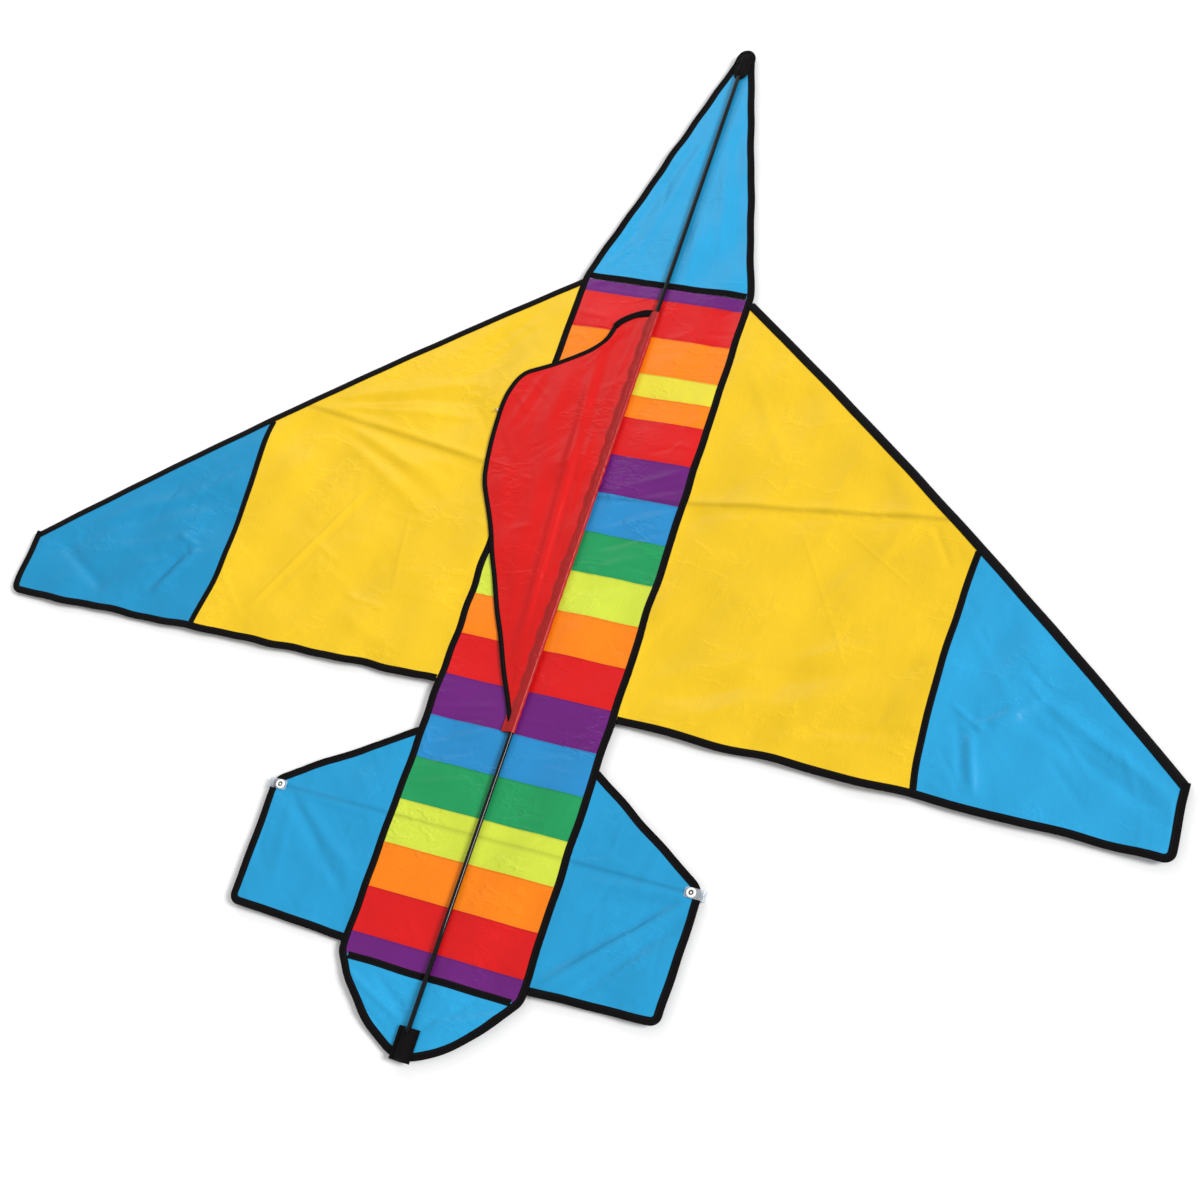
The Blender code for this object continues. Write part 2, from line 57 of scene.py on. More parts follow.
spineZ = (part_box("spine_rod")[0].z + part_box("spine_rod")[1].z) / 2
rodZ = (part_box("left_tail_rod")[0].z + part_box("left_tail_rod")[1].z) / 2
left, right = "spine_and_left_half", "right_half"
rng = np.random.default_rng(7)

plan = {
    "bodyHalf": 0.126,         # half the striped body, over its bindings
    "noseFront": (0.0255, 0.0465),  # half width and station where the nose's taper starts
    "noseSeam": 0.397,
    "tailSeam": 1.390,
    "tailStart": 1.388,
    "tailEnd": 1.490,
    "tailLength": 0.102,
    "tailPower": 1.75,         # 1 would make the tail's curve a straight taper
    "tapeWidth": 0.0100,
    "tipSeam": 0.503,
    "wingRoot": (0.1315, 0.4127),   # the leading edge's two ends, and its bow between them
    "wingTip": (0.7965, 0.9445),
    "wingBow": 0.010,
    "spreader": (0.0, 0.731, 0.470, 0.6708),
    "spreaderRadius": 0.0030,
    "tailRod": 1.208,
    "tailRodRadius": 0.0020,
    "foldHalf": 0.013,         # half the width that bends when the sail folds
    "clothThick": 0.00028,
}


def smooth(t):
    # 0 below 0, 1 above 1, and an S curve between
    t = np.clip(t, 0, 1)
    return t * t * (3 - 2 * t)


# Every sheet reads its height from one field of creases, so that the pieces meet. Each row is
# x0, s0, x1, s1, half width and height of one crease, in millimetres.
rightFolds = [
    (128, 712, 466, 666, 6, 1.5), (128, 726, 466, 675, 8, -0.9), (140, 992, 480, 864, 15, -2.8),
    (150, 960, 490, 830, 17, 1.9), (150, 1016, 480, 905, 13, 1.6), (340, 982, 490, 955, 9, -1.2),
    (300, 1000, 490, 975, 8, 0.8), (270, 700, 392, 900, 2.0, 0.35),
    (330, 705, 445, 775, 2.0, 0.35), (140, 885, 255, 745, 2.2, 0.35),
    (232, 765, 188, 870, 1.8, 0.3), (150, 500, 240, 640, 9, 0.7), (452, 652, 505, 722, 6, 1.6),
    (438, 668, 480, 740, 5, -1.0), (430, 675, 380, 760, 8, 0.6), (570, 925, 625, 878, 8, 2.2),
    (618, 878, 795, 966, 9, 2.6), (600, 905, 790, 990, 10, -2.0), (520, 908, 566, 934, 4, 1.5),
    (540, 928, 588, 900, 4, -1.2), (548, 930, 572, 1016, 5, 1.9), (532, 925, 556, 1008, 5, -1.6),
    (640, 905, 700, 965, 5, 0.9), (515, 800, 600, 905, 9, 0.9), (283, 1217, 132, 1370, 6, 2.8),
    (272, 1222, 128, 1348, 7, -2.2), (290, 1230, 172, 1374, 7, -1.8),
    (286, 1213, 150, 1228, 7, 1.4), (280, 1222, 145, 1256, 7, -1.2),
    (128, 1210, 190, 1192, 6, 1.0), (12, 720, 118, 668, 5, 1.0), (12, 740, 118, 692, 4, -0.9),
    (14, 782, 120, 726, 5, 1.1), (20, 806, 118, 757, 4, -0.9), (20, 836, 118, 790, 5, 0.8),
    (15, 868, 100, 838, 4, -0.6), (10, 1102, 70, 1088, 3, 0.6), (15, 1180, 90, 1168, 3, 0.6),
    (10, 1206, 80, 1190, 4, 0.6), (14, 1448, 112, 1404, 5, 1.8), (12, 1440, 70, 1400, 5, -1.2),
    (30, 1466, 100, 1426, 5, -1.0), (8, 120, 70, 385, 8, 0.9), (22, 120, 100, 385, 7, -0.7),
    (10, 260, 25, 388, 6, 0.7),
]
leftFolds = [
    (-128, 712, -466, 666, 6, 1.5), (-128, 722, -440, 676, 9, -1.5),
    (-448, 660, -205, 588, 9, 1.7), (-446, 664, -205, 618, 8, -1.5),
    (-444, 666, -200, 645, 7, 1.4), (-450, 672, -205, 755, 10, 1.5),
    (-440, 676, -200, 785, 10, -1.3), (-400, 700, -210, 812, 9, 0.9),
    (-316, 765, -432, 990, 2.6, 0.9), (-305, 770, -418, 985, 5, -0.6),
    (-300, 935, -230, 947, 4, 0.7), (-250, 800, -230, 930, 3, 0.4),
    (-160, 470, -230, 560, 6, 0.8), (-150, 520, -260, 600, 7, -0.6),
    (-200, 1000, -300, 960, 12, 0.9), (-766, 944, -590, 845, 14, 2.6),
    (-756, 950, -655, 1008, 9, -2.2), (-740, 932, -515, 826, 11, -1.8),
    (-700, 960, -530, 890, 9, 1.0), (-578, 903, -538, 914, 4, 1.5),
    (-562, 917, -544, 934, 3, -1.2), (-538, 916, -580, 996, 7, 2.6),
    (-556, 925, -594, 992, 7, -2.2), (-620, 962, -570, 934, 5, 1.0),
    (-530, 800, -600, 860, 8, 0.8), (-264, 1216, -148, 1320, 8, -2.0),
    (-262, 1212, -138, 1300, 9, 1.3), (-272, 1210, -132, 1217, 6, 1.0),
    (-256, 1232, -244, 1335, 8, 0.9), (-135, 1110, -190, 1140, 6, 0.7),
    (-118, 1116, -18, 1068, 5, 1.1), (-118, 1136, -28, 1098, 4, -0.9),
    (-112, 1165, -28, 1140, 4, 0.9), (-115, 1060, -30, 1040, 4, 0.6),
    (-110, 1185, -50, 1160, 4, -0.6), (-14, 1448, -112, 1404, 5, 1.8),
    (-12, 1440, -70, 1400, 5, -1.2), (-30, 1466, -100, 1426, 5, -1.0),
    (-8, 120, -70, 385, 8, 0.9), (-22, 130, -96, 380, 7, -0.8), (-60, 330, -100, 380, 5, 0.8),
]


def scatteredFolds(count, box, lengths, widths, heights, lean):
    # short creases at random places in the box, turned from lean by a spread of 28 degrees
    x0, x1, s0, s1 = box
    x, s = rng.uniform(x0, x1, count), rng.uniform(s0, s1, count)
    turn = np.radians(lean + rng.normal(0, 28, count))
    half = rng.uniform(*lengths, count) / 2
    dx, ds = half * np.cos(turn), half * np.sin(turn)
    height = rng.uniform(*heights, count) * rng.choice([-1, 1], count)
    return np.stack([x - dx, s - ds, x + dx, s + ds, rng.uniform(*widths, count), height], axis=1)


folds = np.vstack([
    rightFolds, leftFolds,
    scatteredFolds(90, (140, 490, 480, 1015), (25, 110), (4, 10), (0.12, 0.45), -35),
    scatteredFolds(90, (-490, -140, 480, 1015), (25, 110), (4, 10), (0.12, 0.45), 35),
    scatteredFolds(60, (515, 790, 730, 1020), (20, 80), (3, 8), (0.2, 0.7), 40),
    scatteredFolds(60, (-790, -515, 730, 1020), (20, 80), (3, 8), (0.2, 0.7), -40),
    scatteredFolds(45, (135, 285, 1110, 1365), (20, 80), (3, 7), (0.12, 0.5), -50),
    scatteredFolds(45, (-285, -135, 1110, 1365), (20, 80), (3, 7), (0.12, 0.5), 50),
    scatteredFolds(150, (-115, 115, 405, 1385), (12, 60), (1.6, 4.5), (0.15, 0.6), -25),
    scatteredFolds(30, (-70, 70, 150, 390), (20, 80), (3, 7), (0.1, 0.4), 75),
    scatteredFolds(24, (-95, 95, 1398, 1470), (15, 50), (2, 5), (0.1, 0.4), -30),
]) * np.array([1, 1, 1, 1, 1, 1.3]) / 1000.0
waves = {
    "count": 14,
    "length": (0.07, 0.24),
    "height": 0.00042,
}
waveTurn = rng.uniform(0, 2 * np.pi, waves["count"])
waveLength = rng.uniform(*waves["length"], waves["count"])
wavePhase = rng.uniform(0, 2 * np.pi, waves["count"])


def foldSum(x, s, table):
    # each crease is height * exp(-(distance across / width) squared), times 1 less the fourth power
    # of how far along it lies from its middle, so it fades to nothing at both ends
    total = np.zeros(x.shape)
    for x0, s0, x1, s1, width, height in table:
        dx, ds = x1 - x0, s1 - s0
        length = math.hypot(dx, ds)
        t = ((x - x0) * dx + (s - s0) * ds) / length**2
        d = ((x - x0) * ds - (s - s0) * dx) / length
        near = (t > 0) & (t < 1) & (np.abs(d) < 3.2 * width)
        if near.any():
            total[near] += height * np.exp(-(d[near] / width) ** 2) * (1 - (2 * t[near] - 1) ** 4)
    return total


def inFromLeadingEdge(x, s):
    # how far a point lies behind the wing's bowed front edge; 1 m over the body and the fins
    start = np.array(plan["wingRoot"])
    span = np.array(plan["wingTip"]) - start
    length = np.linalg.norm(span)
    ax = np.abs(x)
    t = ((ax - start[0]) * span[0] + (s - start[1]) * span[1]) / length**2
    inwards = ((s - start[1]) * span[0] - (ax - start[0]) * span[1]) / length
    return np.where(ax > 0.1255, inwards + 4 * plan["wingBow"] * t * (1 - t), 1.0)


def fromSpreader(x, s):
    # how far a station lies behind the hidden spreader at this x, and whether x is within its reach
    _, s0, x1, s1 = plan["spreader"]
    return s - s0 - (s1 - s0) * np.abs(x) / x1, np.abs(x) < x1


def sailHeight(x, s):
    # sailZ, plus the waves and the creases. Their sum is multiplied by calm, which falls to 0.08 on
    # the spine, by edge, which falls to 0.3 beside the body's side, and by a ramp from 0 to 1
    # behind the leading edge. Dips are cut to a quarter over the spreader, which holds them up.
    x, s = np.broadcast_arrays(np.asarray(x, float), np.asarray(s, float))
    lift = np.zeros(x.shape)
    for turn, length, phase in zip(waveTurn, waveLength, wavePhase):
        along = x * np.cos(turn) + s * np.sin(turn)
        lift += waves["height"] * np.sin(2 * np.pi * along / length + phase)
    lift += foldSum(x, s, folds)
    calm = 1 - 0.92 * np.exp(-(x / 0.014) ** 2)
    edge = 1 - 0.7 * np.exp(-((np.abs(x) - 0.12) / 0.010) ** 2)
    lift = lift * calm * edge * smooth((inFromLeadingEdge(x, s) - 0.007) / 0.03)
    d, within = fromSpreader(x, s)
    over = np.exp(-(d * 0.99 / 0.012) ** 2) * within
    return sailZ + np.where(lift < 0, lift * (1 - 0.75 * over), lift)


def place(x, s, z):
    # plan positions and heights as points in the frame
    return np.stack(np.broadcast_arrays(x, noseY - s, z), axis=-1)


def makePiece(name, points, quads, uv=None, sharpEdge=False):
    # points as rows, faces as rows of four indices; sharpEdge marks the edges that one face uses
    mesh = bpy.data.meshes.new(name)
    mesh.vertices.add(len(points))
    mesh.vertices.foreach_set("co", np.asarray(points, np.float32).ravel())
    mesh.loops.add(quads.size)
    mesh.loops.foreach_set("vertex_index", quads.astype(np.int32).ravel())
    mesh.polygons.add(len(quads))
    mesh.polygons.foreach_set("loop_start", np.arange(0, quads.size, 4, dtype=np.int32))
    mesh.update(calc_edges=True)
    if uv is not None:
        layer = mesh.uv_layers.new(name="cloth")
        layer.data.foreach_set("uv", np.asarray(uv, np.float32)[quads.ravel()].ravel())
    mesh.shade_smooth()
    piece = bpy.data.objects.new(name, mesh)
    bpy.context.scene.collection.objects.link(piece)
    if sharpEdge:
        ends = np.empty(len(mesh.edges) * 2, np.int32)
        mesh.edges.foreach_get("vertices", ends)
        sides = np.concatenate([quads[:, [k, (k + 1) % 4]] for k in range(4)])
        keys, uses = np.unique(np.sort(sides, axis=1) @ [len(points), 1], return_counts=True)
        rim = np.isin(np.sort(ends.reshape(-1, 2), axis=1) @ [len(points), 1], keys[uses == 1])
        mesh.attributes.new("sharp_edge", "BOOLEAN", "EDGE").data.foreach_set("value", rim)
    return piece


def gridQuads(rows, columns, wrapRows=False, wrapColumns=False):
    # the quads of a grid of points, closed into a tube or a ring where it wraps
    i = np.arange(rows if wrapRows else rows - 1)[:, None]
    j = np.arange(columns if wrapColumns else columns - 1)[None, :]
    i2, j2 = (i + 1) % rows, (j + 1) % columns
    corners = (i * columns + j, i2 * columns + j, i2 * columns + j2, i * columns + j2)
    return np.stack(np.broadcast_arrays(*corners), axis=-1).reshape(-1, 4)


def weld(piece):
    # merges points that meet, as at the closed end of a tube, and turns every face outwards
    work = bmesh.new()
    work.from_mesh(piece.data)
    bmesh.ops.remove_doubles(work, verts=work.verts, dist=2e-6)
    bmesh.ops.dissolve_degenerate(work, edges=work.edges, dist=1e-7)
    bmesh.ops.recalc_face_normals(work, faces=work.faces)
    work.to_mesh(piece.data)
    work.free()
    return piece


def paintedShade(x, s):
    # painted shade of what lies under the cloth: exp(-(distance / width) squared) from the spreader
    # and from the tail rod, and 0.55 in a band right of the spine on the nose; the largest of the
    # three
    d, within = fromSpreader(x, s)
    spreader = np.exp(-(d / 0.0035) ** 2) * within
    tail = np.exp(-((s - plan["tailRod"]) / 0.0026) ** 2) * (np.abs(x) < 0.296)
    noseBand = 0.55 * smooth((x + 0.001) / 0.002) * smooth((0.0135 - x) / 0.0015)
    return np.maximum(np.maximum(spreader, tail), noseBand * (s < plan["noseSeam"]))


def shadeAttribute(piece, values):
    # writes the painted shade that the cloth's finish reads, one value a vertex
    shade = piece.data.attributes.new("paintedShade", "FLOAT", "POINT")
    shade.data.foreach_set("value", values.astype(np.float32).ravel())


def thicken(piece, thick, offset=0):
    wall = piece.modifiers.new("thickness", "SOLIDIFY")
    wall.thickness, wall.offset = thick, offset


def clothSheet(name, x, s, z, paintedShadeShare=1.0, seamAt=None):
    # a sheet on a grid of plan positions, with its flat position as its UV map
    points = place(x, s, z).reshape(-1, 3)
    uv = np.stack([x, s], axis=-1).reshape(-1, 2)
    quads = gridQuads(*x.shape)
    a, b, c = points[quads[0, 0]], points[quads[0, 1]], points[quads[0, 2]]
    if np.cross(b - a, c - a)[2] < 0:
        quads = quads[:, ::-1]
    piece = makePiece(name, points, quads, uv, sharpEdge=True)
    # painted shade: what lies under the cloth, times its share, and a thin dark line just behind a
    # stripe's front seam
    dark = paintedShadeShare * paintedShade(x, s)
    if seamAt is not None:
        dark = np.maximum(dark, 1.3 * np.exp(-((s - seamAt) / 0.0007) ** 2))
    shadeAttribute(piece, dark)
    thicken(piece, plan["clothThick"])
    return piece


def resample(path, step):
    # the path at even distances, and those distances
    path = np.asarray(path, float)
    along = runLength(path)
    count = max(2, int(round(along[-1] / step)) + 1)
    t = np.linspace(0, along[-1], count)
    return np.stack([np.interp(t, along, path[:, k]) for k in range(path.shape[1])], axis=1), t


def softened(path):
    # three passes that move each point halfway to the mean of its neighbours
    for _ in range(3):
        path[1:-1] = (path[:-2] + 2 * path[1:-1] + path[2:]) / 4
    return path


def normals(path):
    # unit tangents of a plan path, and the unit normals a quarter turn from them
    step = np.gradient(path, axis=0)
    step /= np.linalg.norm(step, axis=1)[:, None]
    return step, np.stack([-step[:, 1], step[:, 0]], axis=1)


def wobble(length, size, scale):
    # a slow random wander along a seam: five sine waves at random phases
    total = np.zeros(len(length))
    for wave in rng.uniform(0.6, 2.2, 5) * scale:
        total += np.sin(2 * np.pi * length / wave + rng.uniform(0, 2 * np.pi))
    return total * size / 2.5


def bandEnds(rows, columns):
    # quads that close the first and the last ring of a folded band
    j = np.arange(columns // 2 - 1)
    start = np.stack([j, j + 1, columns - 2 - j, columns - 1 - j], axis=1)
    return np.vstack([start, start[:, ::-1] + (rows - 1) * columns])


def runLength(path):
    return np.concatenate([[0], np.cumsum(np.linalg.norm(np.diff(path, axis=0), axis=1))])


def sweptBand(name, path, inwards, profile, height, sway, step=0.003, lift=0.0):
    # a closed profile of (inwards, up) points carried along a plan path, at the cloth's height
    line, along = resample(path, step)
    _, normal = normals(line)
    normal = normal * inwards
    edge = smooth(along / 0.03) * smooth((along[-1] - along) / 0.03)
    line = line + normal * (wobble(along, sway, 0.09) * edge)[:, None]
    profile = np.asarray(profile, float)
    plane = line[:, None, :] + normal[:, None, :] * profile[None, :, :1]
    base = height(plane[..., 0], plane[..., 1]) + lift
    points = place(plane[..., 0], plane[..., 1], base + profile[None, :, 1])
    uv = np.stack(np.broadcast_arrays(along[:, None], runLength(profile)[None, :]), axis=-1)
    rows, columns = points.shape[:2]
    quads = np.vstack([gridQuads(rows, columns, wrapColumns=True), bandEnds(rows, columns)])
    piece = makePiece(name, points.reshape(-1, 3), quads, uv.reshape(-1, 2))
    return weld(piece), line, normal


def foldedTape(width, high):
    # the section of a tape folded over an edge: an outer skin, its rounded fold, and an inner skin
    wall, hollow = 0.0003, 0.00035
    a = np.array([1.0, 0.93, 0.7, 0.4, 0.16, 0.05, 0.0])
    b = np.array([0.72, 0.86, 0.98, 1.0, 0.9, 0.55, 0.0])
    outer = np.stack([a * width, b * high], axis=1)
    inner = np.stack([np.maximum(a * width, 0.0011), np.minimum(b * high - wall, hollow)], axis=1)
    inner[-1] = (0.0009, 0)
    inner[:, 1] = np.maximum(inner[:, 1], 0)
    flip = np.array([1, -1])
    outside = np.vstack([outer, outer[-2::-1] * flip])
    inside = np.vstack([inner, inner[-2::-1] * flip])
    inside[0, 0] = inside[-1, 0] = width
    return np.vstack([outside, inside[::-1]])


def flatTape(width, high):
    # the section of a flat tape sewn over a seam, a soft closed lens
    half = np.array([(-0.5, 0.45), (-0.42, 0.85), (-0.2, 1.0), (0.2, 1.0), (0.42, 0.85),
                     (0.5, 0.45)]) * [width, high]
    return np.vstack([half, half[::-1] * [1, -1]])


stitch = {
    "long": 0.0023,
    "pitch": 0.0029,
    "wide": 0.00020,
    "high": 0.00016,
}


def stitches(name, line, height, lift, finish, body, fold=None):
    # one short rounded thread a stitch, repeated along a seam at the cloth's height
    mid, _ = resample(line, stitch["pitch"])
    tangent, normal = normals(mid)
    ring = np.array([(-1, 0.0), (-0.86, 0.8), (0.0, 1.0), (0.86, 0.8), (1, 0.0)])
    angle = np.arange(5) * 2 * np.pi / 5
    lx = np.repeat(ring[:, 0], 5) * stitch["long"] / 2
    ly = (ring[:, 1:] * np.cos(angle)).ravel() * stitch["wide"]
    lz = (ring[:, 1:] * np.sin(angle)).ravel() * stitch["high"]
    plane = mid[:, None, :] + tangent[:, None, :] * lx[:, None] + normal[:, None, :] * ly[:, None]
    base = height(mid[:, 0], mid[:, 1])[:, None] + lift
    points = place(plane[..., 0], plane[..., 1], base + lz)
    quads = gridQuads(5, 5, wrapColumns=True)
    allQuads = (quads[None] + 25 * np.arange(len(mid))[:, None, None]).reshape(-1, 4)
    piece = weld(makePiece(name, points.reshape(-1, 3), allQuads, plane.reshape(-1, 2)))
    finishPiece(piece, finish, body, fold)


def turned(name, rings, axis, centre, count):
    # rings of (radius, height) carried round an axis
    rings = np.asarray(rings, float)
    angle = np.arange(count) * 2 * np.pi / count
    axis = np.asarray(axis, float) / np.linalg.norm(axis)
    side = np.cross(axis, [0, 0, 1] if abs(axis[2]) < 0.9 else [1, 0, 0])
    side /= np.linalg.norm(side)
    other = np.cross(axis, side)
    spoke = np.cos(angle)[:, None] * side + np.sin(angle)[:, None] * other
    points = centre + rings[:, None, :1] * spoke[None] + rings[:, None, 1:] * axis
    quads = gridQuads(len(rings), count, wrapColumns=True)
    uv = np.stack(np.broadcast_arrays(angle[None, :] / (2 * np.pi), rings[:, 1:]), axis=-1)
    return weld(makePiece(name, points.reshape(-1, 3), quads, uv.reshape(-1, 2)))


def rodPiece(name, start, end, radius, count):
    # a round straight rod with slightly eased ends
    start, end = np.asarray(start, float), np.asarray(end, float)
    long = np.linalg.norm(end - start)
    ease = radius * 0.12
    rings = [(0, 0), (radius - ease, 0), (radius, ease)]
    rings += [(radius, h) for h in np.linspace(0, 1, 9)[1:-1] * long]
    rings += [(radius, long - ease), (radius - ease, long), (0, long)]
    return turned(name, rings, end - start, start, count)


def bentRod(name, path, radius, z):
    # a round rod along a plan path
    count = 20
    line, _ = resample(path, 0.012)
    _, normal = normals(line)
    angle = np.arange(count) * 2 * np.pi / count
    plane = line[:, None, :] + normal[:, None, :] * (radius * np.cos(angle))[:, None]
    points = place(plane[..., 0], plane[..., 1], z + radius * np.sin(angle)[None, :])
    middle = np.repeat(place(line[[0, -1], 0], line[[0, -1], 1], z)[:, None], count, 1)
    points = np.concatenate([middle[:1], points, middle[1:]])
    quads = gridQuads(len(points), count, wrapColumns=True)
    return weld(makePiece(name, points.reshape(-1, 3), quads))


def finishPiece(piece, finish, body, fold=None):
    # gives a piece its finish and attaches it to its body; when fold (the other body and two
    # points) is given, the piece is not attached, only its transform is baked, and the fold is not
    # used
    piece.data.materials.append(finish[0])
    if fold is None:
        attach(piece, body)
    else:
        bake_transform(piece)
    return piece


spineFold = (right, (-plan["foldHalf"], 0, sailZ), (plan["foldHalf"], 0, sailZ))


def newMaterial(name):
    # a material, with makers for its nodes and for the arithmetic between them
    made = bpy.data.materials.new(name)
    made.use_nodes = True
    tree = made.node_tree

    def feed(target, values):
        # each value is an output to link to, or else the socket's constant
        for key, value in values.items():
            if isinstance(value, bpy.types.NodeSocket):
                tree.links.new(value, target.inputs[key])
            else:
                target.inputs[key].default_value = value
        return target

    def node(kind, values, **settings):
        target = tree.nodes.new("ShaderNode" + kind)
        for key, value in settings.items():
            setattr(target, key, value)
        return feed(target, values)

    def maths(operation, *values, clamp=False):
        made = node("Math", dict(enumerate(values)), operation=operation, use_clamp=clamp)
        return made.outputs[0]

    def noise(where, scale, detail, roughness=0.5):
        values = {"Vector": where, "Scale": scale, "Detail": detail, "Roughness": roughness}
        return node("TexNoise", values).outputs[0]

    def mixed(factor, a, b, **settings):
        values = {"Factor": factor, "A": a, "B": b}
        return node("Mix", values, data_type="RGBA", **settings).outputs["Result"]

    def finish(values):
        feed(tree.nodes["Principled BSDF"], values)
        return made

    return node, maths, noise, mixed, finish


cloth = {
    "threads": (0.45, 0.38),    # pitch across and along, in millimetres
    "ripstop": 5.4,
    "dark": 0.84,               # of the dye, where the tone is lowest
    "pale": 1.10,
    # painted shade: the tint the dye is multiplied towards over what lies under the cloth
    "paintedShadeTint": (0.78, 0.78, 0.80, 1),
    "rough": 0.37,
    "bump": 0.0006,
}


def clothFinish(name, slotName, colour, sheen=0.015, depth=1.0, gloss=0.26, crumple=0.9):
    # Woven nylon. The tone is 0.16 of a slow noise, plus 0.10 of a noise drawn out along the
    # threads, plus 0.035 of the crumples (a painted highlight along their ridges), less 0.021 on
    # ripstop lines. It carries the dye from dark to pale, and the painted shade of what lies under
    # the cloth multiplies that. The relief is 1.25 of a fine ruffle, plus the crumples,
    # plus 0.05 of the ripstop and 0.03 of the weave.
    node, maths, noise, mixed, finish = newMaterial(name)
    flat = node("UVMap", {}, uv_map="cloth").outputs[0]

    def mapped(scale, turn=0.0):
        values = {"Vector": flat, "Scale": scale, "Rotation": (0, 0, turn)}
        return node("Mapping", values).outputs[0]

    def weighted(*parts):
        # the sum of each source times its weight
        total = 0.0
        for source, weight in parts:
            total = maths("MULTIPLY_ADD", source, weight, total)
        return total

    millimetres = node("SeparateXYZ", {0: mapped((1000, 1000, 1))})

    def wave(axis, pitch, power):
        # the size of sine(pi * distance / pitch), raised to a power
        turns = maths("MULTIPLY", millimetres.outputs[axis], math.pi / pitch)
        return maths("POWER", maths("ABSOLUTE", maths("SINE", turns)), power)

    weave = maths("MULTIPLY", wave(0, cloth["threads"][0], 1.0), wave(1, cloth["threads"][1], 1.0))
    ripstop = maths("MAXIMUM", wave(0, cloth["ripstop"], 40.0), wave(1, cloth["ripstop"], 40.0))
    # crumples: 1 - |22 * noise - 11|, thin ridges where a noise crosses its middle, in some patches
    middle = maths("MULTIPLY_ADD", noise(mapped((1.0, 1.9, 1), 0.5), 13.0, 4.0, 0.55), 22.0, -11.0)
    ridge = maths("SUBTRACT", 1.0, maths("ABSOLUTE", middle), clamp=True)
    patches = node("MapRange", {"Value": noise(flat, 11.0, 1.0), "From Min": 0.46,
                                "From Max": 0.62})
    crumples = maths("MULTIPLY", ridge, patches.outputs[0])
    # the crumples lift the tone along their ridges, a painted highlight on the creases
    tone = weighted((noise(flat, 9.0, 4.0, 0.55), 0.16 * depth),
                    (noise(mapped((900, 26, 1)), 1.0, 2.0), 0.10 * depth),
                    (ripstop, -0.021), (crumples, 0.035))
    ramp = node("MapRange", {"Value": tone, "From Min": 0.02, "From Max": 0.22}).outputs[0]
    dyed = mixed(ramp, (*[c * cloth["dark"] for c in colour], 1),
                 (*[min(1.0, c * cloth["pale"]) for c in colour], 1))
    # painted shade over the rods and seams under the cloth, read from the mesh
    paintedShadeAmount = node("Attribute", {}, attribute_name="paintedShade").outputs["Fac"]
    relief = weighted((weave, 0.03), (ripstop, 0.05), (noise(flat, 45.0, 4.0, 0.6), 1.25),
                      (crumples, crumple))
    bump = node("Bump", {"Height": relief, "Strength": 0.7, "Distance": cloth["bump"]})
    made = finish({
        "Base Color": mixed(paintedShadeAmount, dyed, cloth["paintedShadeTint"], blend_type="MULTIPLY"),
        "Normal": bump.outputs[0], "Roughness": cloth["rough"], "Specular IOR Level": gloss,
        "Sheen Weight": sheen, "Sheen Roughness": 0.4,
    })
    return made, slotName


def tapeFinish(name, slotName, colour):
    # Ribbed binding. The colour goes from 0.6 to 1.8 of itself by (0.55 * ribs + slow noise) times
    # a fine lint, and the relief is the ribs, which are bands across the tape.
    node, maths, noise, mixed, finish = newMaterial(name)
    flat = node("UVMap", {}, uv_map="cloth").outputs[0]
    values = {"Vector": flat, "Scale": 380.0, "Distortion": 0.6, "Detail Scale": 2.0}
    ribs = node("TexWave", values, wave_type="BANDS", bands_direction="X").outputs["Fac"]
    uneven = maths("MULTIPLY_ADD", ribs, 0.55, noise(flat, 22.0, 2.0))
    factor = maths("MULTIPLY", uneven, noise(flat, 900.0, 3.0))
    bump = node("Bump", {"Height": ribs, "Strength": 0.5, "Distance": 0.0003})
    made = finish({
        "Base Color": mixed(factor, (*[c * 0.6 for c in colour], 1),
                            (*[c * 1.8 + 0.001 for c in colour], 1)),
        "Normal": bump.outputs[0], "Roughness": 0.78, "Sheen Weight": 0.015,
        "Specular IOR Level": 0.06,
    })
    return made, slotName


def hardFinish(name, slotName, colour, rough, metal=0.0, coat=0.0, grain=400.0, wear=0.12,
               alpha=1.0, gloss=0.5, pitted=0.08):
    # Moulded, drawn or plated. One fine noise carries the colour from 1 - wear to 1 + wear of
    # itself, the roughness from 0.85 to 1.2 of itself, and the relief.
    node, maths, noise, mixed, finish = newMaterial(name)
    spot = node("TexCoord", {}).outputs["Object"]
    fine = noise(spot, grain, 3.0)
    polish = node("MapRange", {"Value": fine, "To Min": rough * 0.85, "To Max": rough * 1.2})
    bump = node("Bump", {"Height": fine, "Strength": pitted, "Distance": 0.0002})
    made = finish({
        "Base Color": mixed(fine, (*[c * (1 - wear) for c in colour], 1),
                            (*[min(1.0, c * (1 + wear) + 0.002) for c in colour], 1)),
        "Roughness": polish.outputs[0], "Normal": bump.outputs[0], "Metallic": metal,
        "Specular IOR Level": gloss, "Coat Weight": coat, "Alpha": alpha,
    })
    return made, slotName


